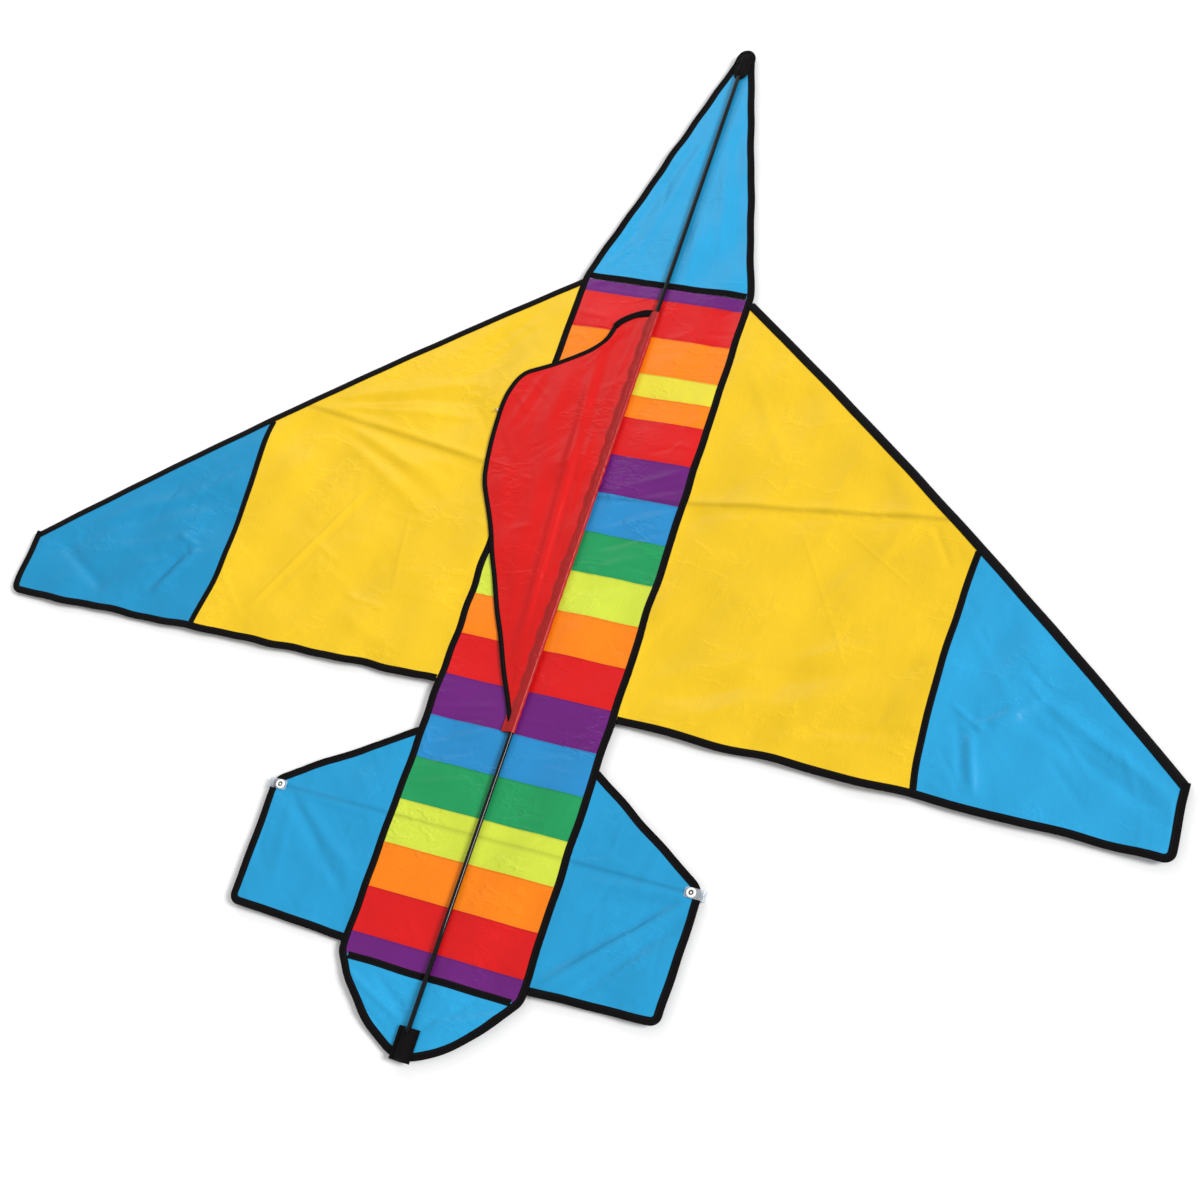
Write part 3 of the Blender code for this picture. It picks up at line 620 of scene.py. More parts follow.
yellow = clothFinish("yellowNylon", "yellow_cloth", (0.82, 0.525, 0.012))
skyBlue = clothFinish("skyBlueNylon", "sky_blue_cloth", (0.018, 0.340, 0.650))
# painted shade: a darker copy of the sky-blue nylon, for the left tip
paintedShadeBlue = clothFinish("paintedShadeBlueNylon", "sky_blue_cloth", (0.010, 0.255, 0.500))
# painted shade: a darker copy of the sky-blue nylon, for the fins
paintedShadeFinBlue = clothFinish("paintedShadeFinBlueNylon", "sky_blue_cloth", (0.014, 0.300, 0.580))
keelRed = clothFinish("keelRedNylon", "red_cloth", (0.60, 0.0045, 0.0035), depth=1.2, gloss=0.24,
                      sheen=0.0)
# painted shade: a darker copy of the keel's red nylon, for its two-layer sleeve round the rod
paintedShadeKeelSleeveRed = clothFinish("paintedShadeKeelSleeveRedNylon", "red_cloth", (0.44, 0.0050, 0.0045), gloss=0.34,
                            crumple=1.6)
stripeFinish = {
    colour: clothFinish(name, slotName, dye, crumple=1.7) for colour, name, slotName, dye in (
        ("purple", "purpleNylon", "purple_cloth", (0.135, 0.010, 0.175)),
        ("red", "stripeRedNylon", "stripe_red_cloth", (0.66, 0.006, 0.007)),
        ("orange", "orangeNylon", "orange_cloth", (0.93, 0.215, 0.004)),
        ("lime", "limeNylon", "lime_cloth", (0.60, 0.70, 0.052)),
        ("paleLime", "paleLimeNylon", "lime_cloth", (0.76, 0.66, 0.040)),
        ("blue", "blueNylon", "blue_cloth", (0.018, 0.240, 0.54)),
        ("green", "greenNylon", "green_cloth", (0.012, 0.30, 0.095)),
    )
}
binding = tapeFinish("blackBinding", "black_binding", (0.0040, 0.0032, 0.0034))
blackThread = hardFinish("blackThread", "black_binding", (0.02, 0.018, 0.018), 0.6, grain=2500,
                         gloss=0.15)
rodFinish = hardFinish("glossBlackRod", "black_rod", (0.0025, 0.0025, 0.003), 0.09, gloss=0.24,
                       grain=60, pitted=0.01)
vinyl = hardFinish("satinBlackVinyl", "black_vinyl", (0.008, 0.008, 0.009), 0.42, gloss=0.25)
clearVinyl = hardFinish("clearVinyl", "clear_vinyl", (0.60, 0.66, 0.72), 0.14, coat=0.4,
                        alpha=0.34, grain=90)
whitePlastic = hardFinish("whitePlastic", "white_plastic", (0.88, 0.88, 0.86), 0.28, wear=0.03)
# painted shade: the snap's recess, the same white plastic painted near black
paintedShadeSnapHollow = hardFinish("snapHollowPaintedShade", "white_plastic", (0.03, 0.03, 0.035), 0.4)
steel = hardFinish("platedSteel", "steel", (0.55, 0.55, 0.56), 0.25, metal=1.0)


def bodyHalf(s):
    # half width of nose, body and tail, the least of three: a straight taper from the nose's front
    # to its seam, the parallel body, and the body's half times (distance to the tail's end over the
    # tail's length) to the power 1 / tailPower
    s = np.asarray(s, float)
    (half, start), full = plan["noseFront"], plan["bodyHalf"]
    nose = half + (full - half) * (s - start) / (plan["noseSeam"] - start)
    share = np.clip(plan["tailEnd"] - s, 0, None) / plan["tailLength"]
    return np.minimum(np.minimum(nose, full), full * share ** (1 / plan["tailPower"]))


def leadingEdge(t, inset=0.0):
    # the straight line from the wing's root to its tip, bowed out by 4 * bow * t * (1 - t)
    start, end = np.array(plan["wingRoot"]), np.array(plan["wingTip"])
    along = (end - start) / np.linalg.norm(end - start)
    out = np.array([along[1], -along[0]])
    t = np.atleast_1d(t)[:, None]
    return start + (end - start) * t + out * (4 * plan["wingBow"] * t * (1 - t) - inset)


def roundCorners(path, radii):
    # each inner corner becomes an arc of its radius, in eight steps
    made = [np.array(path[0], float)]
    for a, c, b, r in zip(path, path[1:], path[2:], radii):
        a, b, c = np.array(a, float), np.array(b, float), np.array(c, float)
        u, v = (a - c) / np.linalg.norm(a - c), (b - c) / np.linalg.norm(b - c)
        half = math.acos(np.clip(u @ v, -1, 1)) / 2
        middle = c + (u + v) / np.linalg.norm(u + v) * r / math.sin(half)
        p, q = (c + side * r / math.tan(half) - middle for side in (u, v))
        total = math.atan2(p[0] * q[1] - p[1] * q[0], p @ q)
        for t in np.linspace(0, total, 9):
            x = p[0] * math.cos(t) - p[1] * math.sin(t)
            made.append(middle + [x, p[0] * math.sin(t) + p[1] * math.cos(t)])
    return np.array(made + [np.array(path[-1], float)])


def insetPath(path, distance):
    line, _ = resample(path, 0.002)
    _, normal = normals(line)
    return line + normal * distance


finPath = roundCorners([(0.1200, 1.0866), (0.2965, 1.200), (0.2925, 1.369), (0.1200, 1.3762)],
                       [0.028, 0.014])
tipPath = roundCorners([(0.1200, 1.0269), (0.8035, 1.040), (0.8033, 0.9420)], [0.014])


def spacedX(x0, x1):
    # even stations across a wing, with a few close ones at the outer end, where it is cut steeply
    even = np.linspace(x0, x1, int((x1 - x0) / 0.0027) + 2)
    return np.unique(np.concatenate([even, x1 - np.geomspace(0.0002, 0.004, 4)]))


def betweenCurves(x, front, back, rows):
    # a grid across x whose columns run from the front curve to the back curve
    v = np.linspace(0, 1, rows)[None, :]
    return np.repeat(x[:, None], rows, 1), front[:, None] + (back - front)[:, None] * v


def pucker(x, s, size=0.00016, reach=0.009, pitch=0.017):
    # small gathers square to each side of a grid: size * exp(-distance from the side / reach) times
    # a sine along the side, whose pitch wanders and whose height comes and goes
    total = np.zeros(x.shape)
    for border in (np.s_[:, :1], np.s_[:, -1:], np.s_[:1, :], np.s_[-1:, :]):
        bx, bs = x[border], s[border]
        away = np.hypot(x - bx, s - bs)
        run = (bs if bx.shape[0] == 1 else bx) + 0 * x
        wander = 4.2 * np.sin(run * 37) + 2.3 * np.sin(run * 91)
        swell = np.sin(2 * np.pi * run / pitch + wander) * np.sin(run * 53 + 1)
        total += size * swell * np.exp(-away / reach)
    return total


print("cloth")

bodyValues = {
    "cells": 92,               # across the body
    "rowStep": 0.0027,
    "under": 0.0045,           # how far the cloth runs in under the binding
    "lap": 0.0035,             # overlap of neighbouring stripes
    "lapLift": 0.00045,
    "seamIn": 0.0008,          # the painted shade line just behind a stripe's front seam
}
stripes = sorted(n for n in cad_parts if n.startswith("stripe_"))


def bodySheet(name, s0, s1, finish, rise=None, seam=False):
    # a grid across the body, as wide as the outline at each station
    rows = max(4, int((s1 - s0) / bodyValues["rowStep"]) + 2)
    s = np.linspace(s0, s1, rows)
    if seam:
        s = np.unique(np.concatenate([s, s0 + np.array([0.0004, 0.0008, 0.0013, 0.0019])]))
    u = np.linspace(-1, 1, bodyValues["cells"] + 1)[:, None]
    x = u * (bodyHalf(s) - bodyValues["under"])
    s = s + 0 * u
    z = sailHeight(x, s) + pucker(x, s) * (1 - np.exp(-(x / 0.014) ** 2))
    if rise is not None:
        z = z + rise(s)
    piece = clothSheet(name, x, s, z, seamAt=s0 + bodyValues["seamIn"] if seam else None)
    return finishPiece(piece, finish, left, spineFold)


def stripeEnds(node):
    low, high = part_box(node)
    return noseY - high.y, noseY - low.y


nosePanel = bodySheet("nose_panel_cloth", 0.030, plan["noseSeam"] + 0.001, skyBlue)
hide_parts("nose_panel")
seamLines = []
for number, node in enumerate(stripes):
    s0, s1 = stripeEnds(node)
    colour = "paleLime" if node == "stripe_04_lime" else node.split("_")[-1]
    last = number == len(stripes) - 1
    ends = (s0, s1 + (0.004 if last else bodyValues["lap"]))

    def rise(s):
        # the lap sinks by lapLift under the next stripe, which starts 0.6 of that higher
        under = -bodyValues["lapLift"] * smooth((s - s1 + 0.004) / 0.004)
        over = bodyValues["lapLift"] * 0.6 * (1 - smooth((s - s0) / 0.010))
        return (0 if last else under) + over
    piece = bodySheet(node + "_cloth", *ends, stripeFinish[colour], rise=rise, seam=number > 0)
    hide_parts(node)
    wide = 2 * (plan["bodyHalf"] - bodyValues["under"])
    if not last:
        seamLines.append((s1, stripes[number + 1].split("_")[-1]))
tailPanel = bodySheet("tail_panel_cloth", plan["tailSeam"] - 0.001, 1.4845, skyBlue)
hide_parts("tail_panel")

wingValues = {
    "root": 0.1185,
    "front": 0.4155,           # the cloth starts no further forward than this
    "under": 0.0050,           # how far the cloth runs in under the edge tape
    "sleeveInset": 0.0030,     # from the spar's axis to the cloth's front edge, in the sleeve
    "rowStep": 0.0028,
}
seamBow = {
    # stations behind the nose, and how far the tip's seam wanders outwards there
    "left": ((0.690, 0.736, 0.797, 0.850, 0.906, 0.955, 0.992, 1.030),
             (0.0020, 0.0035, -0.0014, -0.0049, -0.0073, -0.0080, -0.0024, 0.0010)),
    "right": ((0.700, 0.753, 0.792, 0.839, 0.880, 0.915, 0.995, 1.030),
              (0.0050, -0.0008, -0.0010, -0.0059, -0.0053, -0.0060, -0.0049, 0.0015)),
}


def seamSway(side, s):
    # the seam's wander: the mean of its table read at five places 8 mm apart
    table = seamBow["left" if side < 0 else "right"]
    return sum(np.interp(s + 0.008 * shift, *table) for shift in range(-2, 3)) / 5


def clothBetween(name, x, front, back, side, finish, body, flat, frontAt=None):
    rows = int(np.max(back - front) / wingValues["rowStep"]) + 2
    gx, gs = betweenCurves(x, front, back, rows)
    gx = gx + seamSway(side, gs) * np.exp(-((gx - plan["tipSeam"]) / 0.035) ** 2)
    if frontAt is not None:
        # the sway moves the front edge sideways, so it is brought back onto its curve
        gs = gs + (frontAt(gx[:, :1]) - gs[:, :1]) * np.linspace(1, 0, rows)
    z = sailHeight(side * gx, gs) + pucker(gx, gs)
    piece = clothSheet(name, side * gx, gs, z)
    finishPiece(piece, finish, body)
    return piece


def edgeStation(path, x):
    # the first and the second station where a path out to the tip and back passes x
    k = int(np.argmax(path[:, 0]))
    front, back = path[:k + 1], path[k:][::-1]
    return np.interp(x, *front.T), np.interp(x, *back.T)


leadingLine = leadingEdge(np.linspace(-0.06, 1.06, 400), wingValues["sleeveInset"])


def wingFront(x):
    return np.maximum(np.interp(x, *leadingLine.T), wingValues["front"])


for sideName, side in (("left", -1), ("right", 1)):
    body = left if side < 0 else right
    trailing = insetPath(tipPath, -wingValues["under"])
    tipX = float(trailing[:, 0].max())
    for part, x0, x1, finish, flat in (
        ("wing", wingValues["root"], plan["tipSeam"] + 0.001, yellow, (0.386, 0.620)),
        ("tip", plan["tipSeam"] - 0.001, tipX, paintedShadeBlue if side < 0 else skyBlue, (0.298, 0.340)),
    ):
        x = spacedX(x0, x1)
        back = edgeStation(trailing, x)[0]
        piece = clothBetween(f"{sideName}_{part}_cloth", x, wingFront(x), back, side, finish, body,
                             flat, wingFront)
        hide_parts(f"{sideName}_{part}_panel")
    inner = insetPath(finPath, wingValues["under"])
    x = spacedX(wingValues["root"], float(inner[:, 0].max()))
    front, back = edgeStation(inner, x)
    piece = clothBetween(f"{sideName}_fin_cloth", x, front, back, side, paintedShadeFinBlue, body,
                         (0.174, 0.282))
    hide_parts(f"{sideName}_fin_panel")

print("bindings")

tapeValues = {
    "high": 0.00080,
    "stitchIn": 0.0024,        # from the tape's inner edge to its row of stitches
    "seam": 0.0088,
    "tipSeam": 0.0085,
}
folded = foldedTape(plan["tapeWidth"], tapeValues["high"])


def bind(name, path, inwards, body, node, sway, profile=folded, height=sailHeight,
         width=plan["tapeWidth"]):
    # a folded tape along an edge, and its row of stitches
    piece, line, normal = sweptBand(name, path, inwards, profile, height, sway)
    finishPiece(piece, binding, body)
    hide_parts(node)
    row = line + normal * (width - tapeValues["stitchIn"])
    stitches(name + "_stitching", row[3:-3], height, tapeValues["high"] * 0.93 + 0.00008,
             blackThread, body)


def seamTape(name, path, body, node, fold=None, width=tapeValues["seam"]):
    # a flat tape over a seam, and its two rows of stitches
    profile = flatTape(width, tapeValues["high"])
    piece, line, normal = sweptBand(name, path, 1, profile, sailHeight, 0.0004)
    finishPiece(piece, binding, body, fold)
    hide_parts(node)
    for part, offset in (("a", -0.32), ("b", 0.32)):
        row = line[2:-2] + normal[2:-2] * offset * width
        stitches(f"{name}_stitching_{part}", row, sailHeight, tapeValues["high"] * 0.95 + 0.00006,
                 blackThread, body, fold)


falling = np.linspace(1, 0.0, 60)[1:]
rising = np.linspace(0.005, plan["tailStart"], 300)
curve = plan["tailStart"] + plan["tailLength"] * (1 - falling ** plan["tailPower"])
edgeLine = np.stack([np.concatenate([bodyHalf(rising), plan["bodyHalf"] * falling]),
                     np.concatenate([rising, curve])], axis=1)
edgeLine[-1, 0] = 0.0004
for sideName, side in (("left", -1), ("right", 1)):
    body = left if side < 0 else right
    bind(f"{sideName}_side_tape", softened(edgeLine.copy()) * [side, 1], side, body,
         f"{sideName}_side_binding", 0.0007)
    trailing = tipPath.copy()
    trailing[0] = (0.1262, trailing[0, 1])
    bind(f"{sideName}_wing_tape", trailing * [side, 1], -side, body,
         f"{sideName}_wing_edge_tape", 0.0011)
    fin = finPath.copy()
    fin[0] = fin[0] + (fin[1] - fin[0]) * (0.1262 - 0.12) / (fin[1, 0] - fin[0, 0])
    fin[-1, 0] = 0.1262
    bind(f"{sideName}_fin_tape", fin * [side, 1], side, body, f"{sideName}_fin_edge_tape", 0.0007)
    seamFront = float(wingFront(plan["tipSeam"] + seamSway(side, 0.700))) + 0.0035
    seamS = np.linspace(seamFront, 1.030, 60)
    seamLine = np.stack([plan["tipSeam"] + seamSway(side, seamS), seamS], axis=1)
    seamTape(f"{sideName}_tip_seam", seamLine * [side, 1], body, f"{sideName}_wing_seam_tape",
             width=tapeValues["tipSeam"])

half = plan["bodyHalf"] - 0.0128
for name, station, wide in (("nose_seam", plan["noseSeam"], half + 0.0015),
                            ("tail_seam", plan["tailSeam"], half - 0.003)):
    seamTape(name, np.array([(-wide, station), (wide, station)]), left, name + "_tape", spineFold)
for number, (station, colour) in enumerate(seamLines):
    row = np.array([(-half, station + 0.0022), (half, station + 0.0022)])
    stitches(f"stripe_seam_{number + 1:02d}", row, sailHeight, 0.00030, stripeFinish[colour], left,
             spineFold)

# The sleeve is a strip folded round the spar, both edges sewn to the wing's front edge. Its section
# is (inwards, height above the floor), in millimetres.
sleeveOuter = np.array([
    (13.0, 10.25), (11.5, 10.35), (9.0, 10.2), (6.5, 9.6), (4.0, 8.5), (1.8, 7.0), (0.4, 5.6),
    (0.0, 4.4), (0.5, 3.0), (1.9, 1.4), (4.0, 0.5), (6.2, 0.3), (8.4, 1.0), (10.0, 2.6),
    (10.9, 4.9), (11.5, 7.2), (12.3, 8.5), (13.0, 8.75),
]) / 1000
sleeveValues = {
    "wall": 0.0004,
    "axisIn": 0.0060,          # from the sleeve's front to the spar's axis
    "sparRadius": 0.0025,
}
turnIn = np.gradient(sleeveOuter, axis=0)
turnIn /= np.linalg.norm(turnIn, axis=1)[:, None]
wallStep = np.stack([-turnIn[:, 1], turnIn[:, 0]], axis=1) * sleeveValues["wall"]
sleeveProfile = np.vstack([sleeveOuter, (sleeveOuter + wallStep)[::-1]])
sleeveProfile -= [sleeveValues["axisIn"], sailZ]


def flatHeight(x, s):
    return sailZ + 0 * x


for sideName, side in (("left", -1), ("right", 1)):
    body = left if side < 0 else right
    path = leadingEdge(np.linspace(-0.0105, 1.003, 60)) * [side, 1]
    piece, line, normal = sweptBand(f"{sideName}_leading_sleeve", path, side, sleeveProfile,
                                    flatHeight, 0.0002, step=0.005)
    finishPiece(piece, binding, body)
    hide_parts(f"{sideName}_leading_edge_sleeve")
    stitches(f"{sideName}_leading_sleeve_stitching", (line + normal * 0.0052)[3:-3], flatHeight,
             0.00098, blackThread, body)
    path = leadingEdge(np.linspace(0.004, 0.996, 80)) * [side, 1]
    piece = bentRod(f"{sideName}_spar", path, sleeveValues["sparRadius"], rodZ)
    finishPiece(piece, rodFinish, body)
    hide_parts(f"{sideName}_leading_edge_spar")

print("rods and fittings")

low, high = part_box("spine_rod")
spine = rodPiece("spine", (0, low.y, spineZ), (0, high.y, spineZ), 0.003, 36)
finishPiece(spine, rodFinish, left)
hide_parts("spine_rod")
centre = np.array([0, noseY - plan["spreader"][1], rodZ])
for sideName, side in (("left", -1), ("right", 1)):
    body = left if side < 0 else right
    joint = np.array([side * plan["spreader"][2], noseY - plan["spreader"][3], rodZ])
    out = (joint - centre) / np.linalg.norm(joint - centre) * 0.008
    piece = rodPiece(f"{sideName}_spreader", centre + out, joint - out, plan["spreaderRadius"], 30)
    finishPiece(piece, rodFinish, body)
    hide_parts(f"{sideName}_spreader_rod")
    y = noseY - plan["tailRod"]
    piece = rodPiece(f"{sideName}_tail_spreader", (side * 0.004, y, rodZ), (side * 0.297, y, rodZ),
                     plan["tailRodRadius"], 24)
    finishPiece(piece, rodFinish, body)
    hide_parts(f"{sideName}_tail_rod")

for name in ("left_spar_connector", "right_spar_connector", "spreader_joiner", "tail_rod_joiner"):
    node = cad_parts[name]
    node.data.materials.clear()
    node.data.materials.append(vinyl[0])

capValues = {
    "front": -0.0108,
    "back": 0.0150,
    "half": 0.0158,
    "patchHalf": 0.0115,
    "patchMiddle": 0.0225,
    "patchReach": 0.0205,
}


def closedShell(name, x, s, top, bottom, finish, body):
    # two grids over one plan, the upper and the lower skin, joined round their rim
    x, s, top, bottom = np.broadcast_arrays(x, s, top, bottom)
    rows, columns = x.shape
    ring = np.concatenate([place(x, s, top), place(x, s, bottom)[:, ::-1]], axis=1)
    flat = np.stack([s, x], -1)
    uv = np.concatenate([flat, flat[:, ::-1]], axis=1)
    quads = np.vstack([gridQuads(rows, 2 * columns, wrapColumns=True),
                       bandEnds(rows, 2 * columns)])
    piece = weld(makePiece(name, ring.reshape(-1, 3), quads, uv.reshape(-1, 2)))
    return finishPiece(piece, finish, body)


def capHalf(s):
    # a quarter ellipse 14 mm long and 12.5 mm wide, plus 0.12 of the distance from the cap's front
    d = np.clip(s - capValues["front"], 0, None)
    share = np.clip(d / 0.014, 0, 1)
    return np.minimum(0.0125 * np.sqrt(share * (2 - share)) + 0.12 * d, capValues["half"])


# the wrap: a low dome, a ridge over the rod's end, and crumples of three sines
length = capValues["back"] - capValues["front"]
v = np.concatenate([[0.0002, 0.001, 0.0022], np.linspace(0.004, length, 44)])
s = (capValues["front"] + v)[:, None]
u = np.linspace(-1, 1, 41)[None, :]
x = u * capHalf(s)
crumple = (0.00035 * np.sin(210 * x + 160 * s) + 0.0004 * np.sin(90 * x - 330 * s + 1.2)
           + 0.0003 * np.sin(520 * s))
over = np.exp(-(x / 0.0062) ** 2) * smooth((s - 0.001) / 0.012)
dome = np.sqrt(np.clip(1 - u**4, 0, 1))
fromFront = smooth((s - capValues["front"]) / 0.004 + 0.3)
top = 0.0102 + dome * (0.0018 + 0.0065 * over + crumple) * fromFront
piece = closedShell("nose_wrap", x, s, top, 0.0088 + 0 * top, binding, left)
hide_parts("nose_cap")

# the pocket the spine's end sits in: an oval patch over the wrap, with the same ridge
v = np.linspace(-1, 1, 33)[:, None]
s = capValues["patchMiddle"] + capValues["patchReach"] * v + 0 * u
x = u * capValues["patchHalf"] * np.sqrt(np.clip(1 - np.abs(v) ** 2.6, 0, 1)) + 0 * v
rim = dome * np.sqrt(np.clip(1 - v**6, 0, 1))
crumple = 0.0003 * np.sin(400 * x + 90 * s) + 0.0003 * np.sin(260 * s - 200 * x)
top = 0.0122 + (0.0068 * np.exp(-(x / 0.0056) ** 2) + 0.0006 + crumple) * rim
piece = closedShell("nose_pocket", x, s, top, 0.0118 + 0 * top, binding, left)
turn = np.linspace(0, 2 * np.pi, 70)
row = np.stack([0.0098 * np.sin(turn), capValues["patchMiddle"] + 0.0175 * np.cos(turn)], axis=1)
stitches("nose_pocket_stitching", row, lambda x, s: 0.0129 + 0 * x, 0.0, blackThread, left)

pocket = {
    "front": 1.4512,
    "back": 1.4922,
    "half": 0.0138,
    "notch": 0.0085,           # how far the front edge is cut back over the rod
}
u = np.linspace(-1, 1, 49)[None, :]
v = np.linspace(0, 1, 40)[:, None]
x = u * pocket["half"] + 0 * v
frontEdge = pocket["front"] + pocket["notch"] * np.exp(-(x / 0.0034) ** 4)
s = frontEdge + (pocket["back"] - frontEdge) * v
over = np.exp(-np.abs(x / 0.0056) ** 3)
# a ridge over the rod, fine ribs beside it, and a back edge that turns down
top = 0.0116 + 0.0070 * over + 0.00022 * np.sin(700 * s + 60 * x) * (1 - over)
top = top - (top - 0.0114) * smooth((s - pocket["back"] + 0.0052) / 0.0052) ** 2
piece = makePiece("tail_webbing", place(x, s, top).reshape(-1, 3), gridQuads(*x.shape)[:, ::-1],
                  np.stack([s, x], -1).reshape(-1, 2), sharpEdge=True)
thicken(piece, 0.0009)
finishPiece(piece, binding, left, spineFold)
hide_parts("tail_pocket")

print("keel")

# the keel lies folded over to the left
keel = {
    "outline": [
        (0.0045, 0.4450), (0.0300, 0.4500), (0.0515, 0.4665), (0.0600, 0.4910), (0.0720, 0.5080),
        (0.0930, 0.5255), (0.1185, 0.5415), (0.1400, 0.5535), (0.1600, 0.5670), (0.1715, 0.5910),
        (0.1766, 0.6220), (0.1750, 0.6610), (0.1700, 0.7050), (0.1624, 0.7373), (0.1454, 0.7723),
        (0.1280, 0.8068), (0.1084, 0.8527), (0.0803, 0.9140), (0.0443, 0.9896), (0.0045, 1.0690),
    ],
    "frontTape": [(-0.0065, 0.4415), (-0.020, 0.4425), (-0.036, 0.4505), (-0.0505, 0.4625),
                  (-0.0565, 0.4720)],
    "hinge": 0.0044,           # where the cloth leaves its sleeve
    "start": 0.445,
    "end": 1.071,
    "tape": 0.0068,
    "under": 0.0030,
    "lift": 0.0022,            # above the sail where it lies flat
}
keelFolds = np.array([
    (-64, 500, -27, 990, 8, 3.6), (-50, 480, -20, 960, 6, -1.0), (-34, 600, -16, 1030, 4, 1.3),
    (-46, 585, -34, 760, 8, 1.6), (-104, 550, -62, 900, 13, 1.6), (-128, 556, -154, 655, 5, 0.9),
    (-118, 572, -140, 655, 4, -0.6), (-163, 595, -128, 628, 4, 0.7), (-152, 572, -108, 600, 3, 0.5),
    (-168, 640, -126, 700, 6, 0.7), (-146, 700, -82, 870, 9, 0.7), (-36, 470, -80, 555, 5, 0.7),
    (-18, 458, -30, 590, 4, 0.6), (-30, 900, -14, 1050, 3, 0.5), (-90, 790, -50, 940, 7, 0.5),
]) / 1000.0
littleKeelFolds = scatteredFolds(36, (-165, -15, 490, 980), (20, 70), (3, 6), (0.08, 0.25),
                                 80) / 1000.0


def keelHeight(x, s):
    # the sail's height, plus lift, plus 3.2 mm that falls off by exp(-distance / 13 mm) from the
    # hinge, plus the keel's own creases, which dip by no more than 1.1 mm
    x, s = np.broadcast_arrays(np.asarray(x, float), np.asarray(s, float))
    fall = np.exp(-np.clip(-x - 0.0045, 0, None) / 0.013)
    lift = foldSum(x, s, keelFolds) + foldSum(x, s, littleKeelFolds)
    lift = np.where(lift < 0, np.maximum(lift, -0.0011), lift) * (1 - 0.8 * fall)
    return np.maximum(sailHeight(x, s), sailZ - 0.0004) + keel["lift"] + 0.0032 * fall + lift


def throughPoints(points, steps):
    # a smooth curve through a row of points, of the Catmull-Rom kind
    p = np.array([points[0]] + points + [points[-1]], float)
    a, b, c, d = p[:-3], p[1:-2], p[2:-1], p[3:]
    t = np.linspace(0, 1, steps, endpoint=False)[None, :, None]
    a, b, c, d = (q[:, None, :] for q in (a, b, c, d))
    line = 0.5 * (2 * b + (c - a) * t + (2 * a - 5 * b + 4 * c - d) * t**2
                  + (3 * b - a - 3 * c + d) * t**3)
    return np.vstack([line.reshape(-1, 2), p[-1]])


outline = throughPoints(keel["outline"], 12)
innerLine, _ = resample(outline, 0.002)
_, across = normals(innerLine)
innerLine = innerLine + across * keel["under"]
s = np.linspace(keel["start"] + 0.004, keel["end"] - 0.006, 236)
edge = np.maximum(np.interp(s, innerLine[:, 1], innerLine[:, 0]), 0.0046)
u = np.linspace(0, 1, 66)[:, None]
x = -(keel["hinge"] + (edge[None, :] - keel["hinge"]) * u)
gs = s[None, :] + 0 * u
z = keelHeight(x, gs) + pucker(x, gs, 0.00015, 0.008, 0.013) * smooth(-x / 0.02)
piece = clothSheet("keel_cloth", x, gs, z, paintedShadeShare=0.0)
finishPiece(piece, keelRed, "keel")
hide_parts("keel_panel")
bind("keel_tape", softened(outline.copy()) * [-1, 1], -1, "keel", "keel_edge_tape", 0.0006,
     profile=foldedTape(keel["tape"], 0.0008), height=keelHeight, width=keel["tape"])
piece, _, _ = sweptBand("keel_tape_end", throughPoints(keel["frontTape"], 12), -1,
                        foldedTape(0.0098, 0.0011), keelHeight, 0.0009, lift=0.0002)
finishPiece(piece, binding, "keel")

# The sleeve round the spine: a teardrop section, (across, above the rod's axis) in millimetres,
# pinched flat where it is sewn to the keel, with small rucks along it.
section = np.array([
    (-15.2, -2.3), (-13.0, -1.9), (-10.5, -1.0), (-7.5, 0.7), (-4.2, 2.7), (-0.6, 4.0), (2.6, 3.3),
    (4.6, 0.5), (3.6, -2.5), (0.4, -4.0), (-3.6, -4.0), (-8.0, -3.6), (-12.5, -3.1), (-15.2, -2.7),
]) / 1000
closed = np.vstack([section, section[:1]])
t = np.linspace(0, 1, len(closed))
fine = np.linspace(0, 1, 57)[:-1]
section = np.stack([np.interp(fine, t, closed[:, 0]), np.interp(fine, t, closed[:, 1])], axis=1)
section = (np.roll(section, 1, 0) + 2 * section + np.roll(section, -1, 0)) / 4
s = np.linspace(keel["start"], keel["end"], 220)[:, None]
across, above = section[None, :, 0], section[None, :, 1]
swell = np.sin(s * 2 * np.pi / 0.021 + 3 * np.sin(s * 37))
ruck = 1 + 0.05 * swell * smooth((across + 0.015) / 0.012)
z = spineZ + above * ruck + 0.0003 * np.sin(s * 2 * np.pi / 0.033) * (across < -0.004)
points = place(across * ruck, s, z)
uv = np.stack(np.broadcast_arrays(runLength(section)[None, :] + 0.3, s), axis=-1)
quads = gridQuads(*points.shape[:2], wrapColumns=True)
piece = weld(makePiece("keel_tunnel", points.reshape(-1, 3), quads, uv.reshape(-1, 2),
                       sharpEdge=True))
# painted shade: a dark line along the tunnel where the rod lies inside it
spot = np.empty(len(piece.data.vertices) * 3, np.float32)
piece.data.vertices.foreach_get("co", spot)
shadeAttribute(piece, np.exp(-((spot[::3] - 0.0004) / 0.0030) ** 2))
thicken(piece, 0.0003, -1)
finishPiece(piece, paintedShadeKeelSleeveRed, "keel")
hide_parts("keel_sleeve")
row = np.array([(-0.0132, keel["start"] + 0.004), (-0.0132, keel["end"] - 0.004)])
stitches("keel_tunnel_stitching", row, lambda x, s: spineZ - 0.0018 + 0 * x, 0.0, keelRed, "keel")

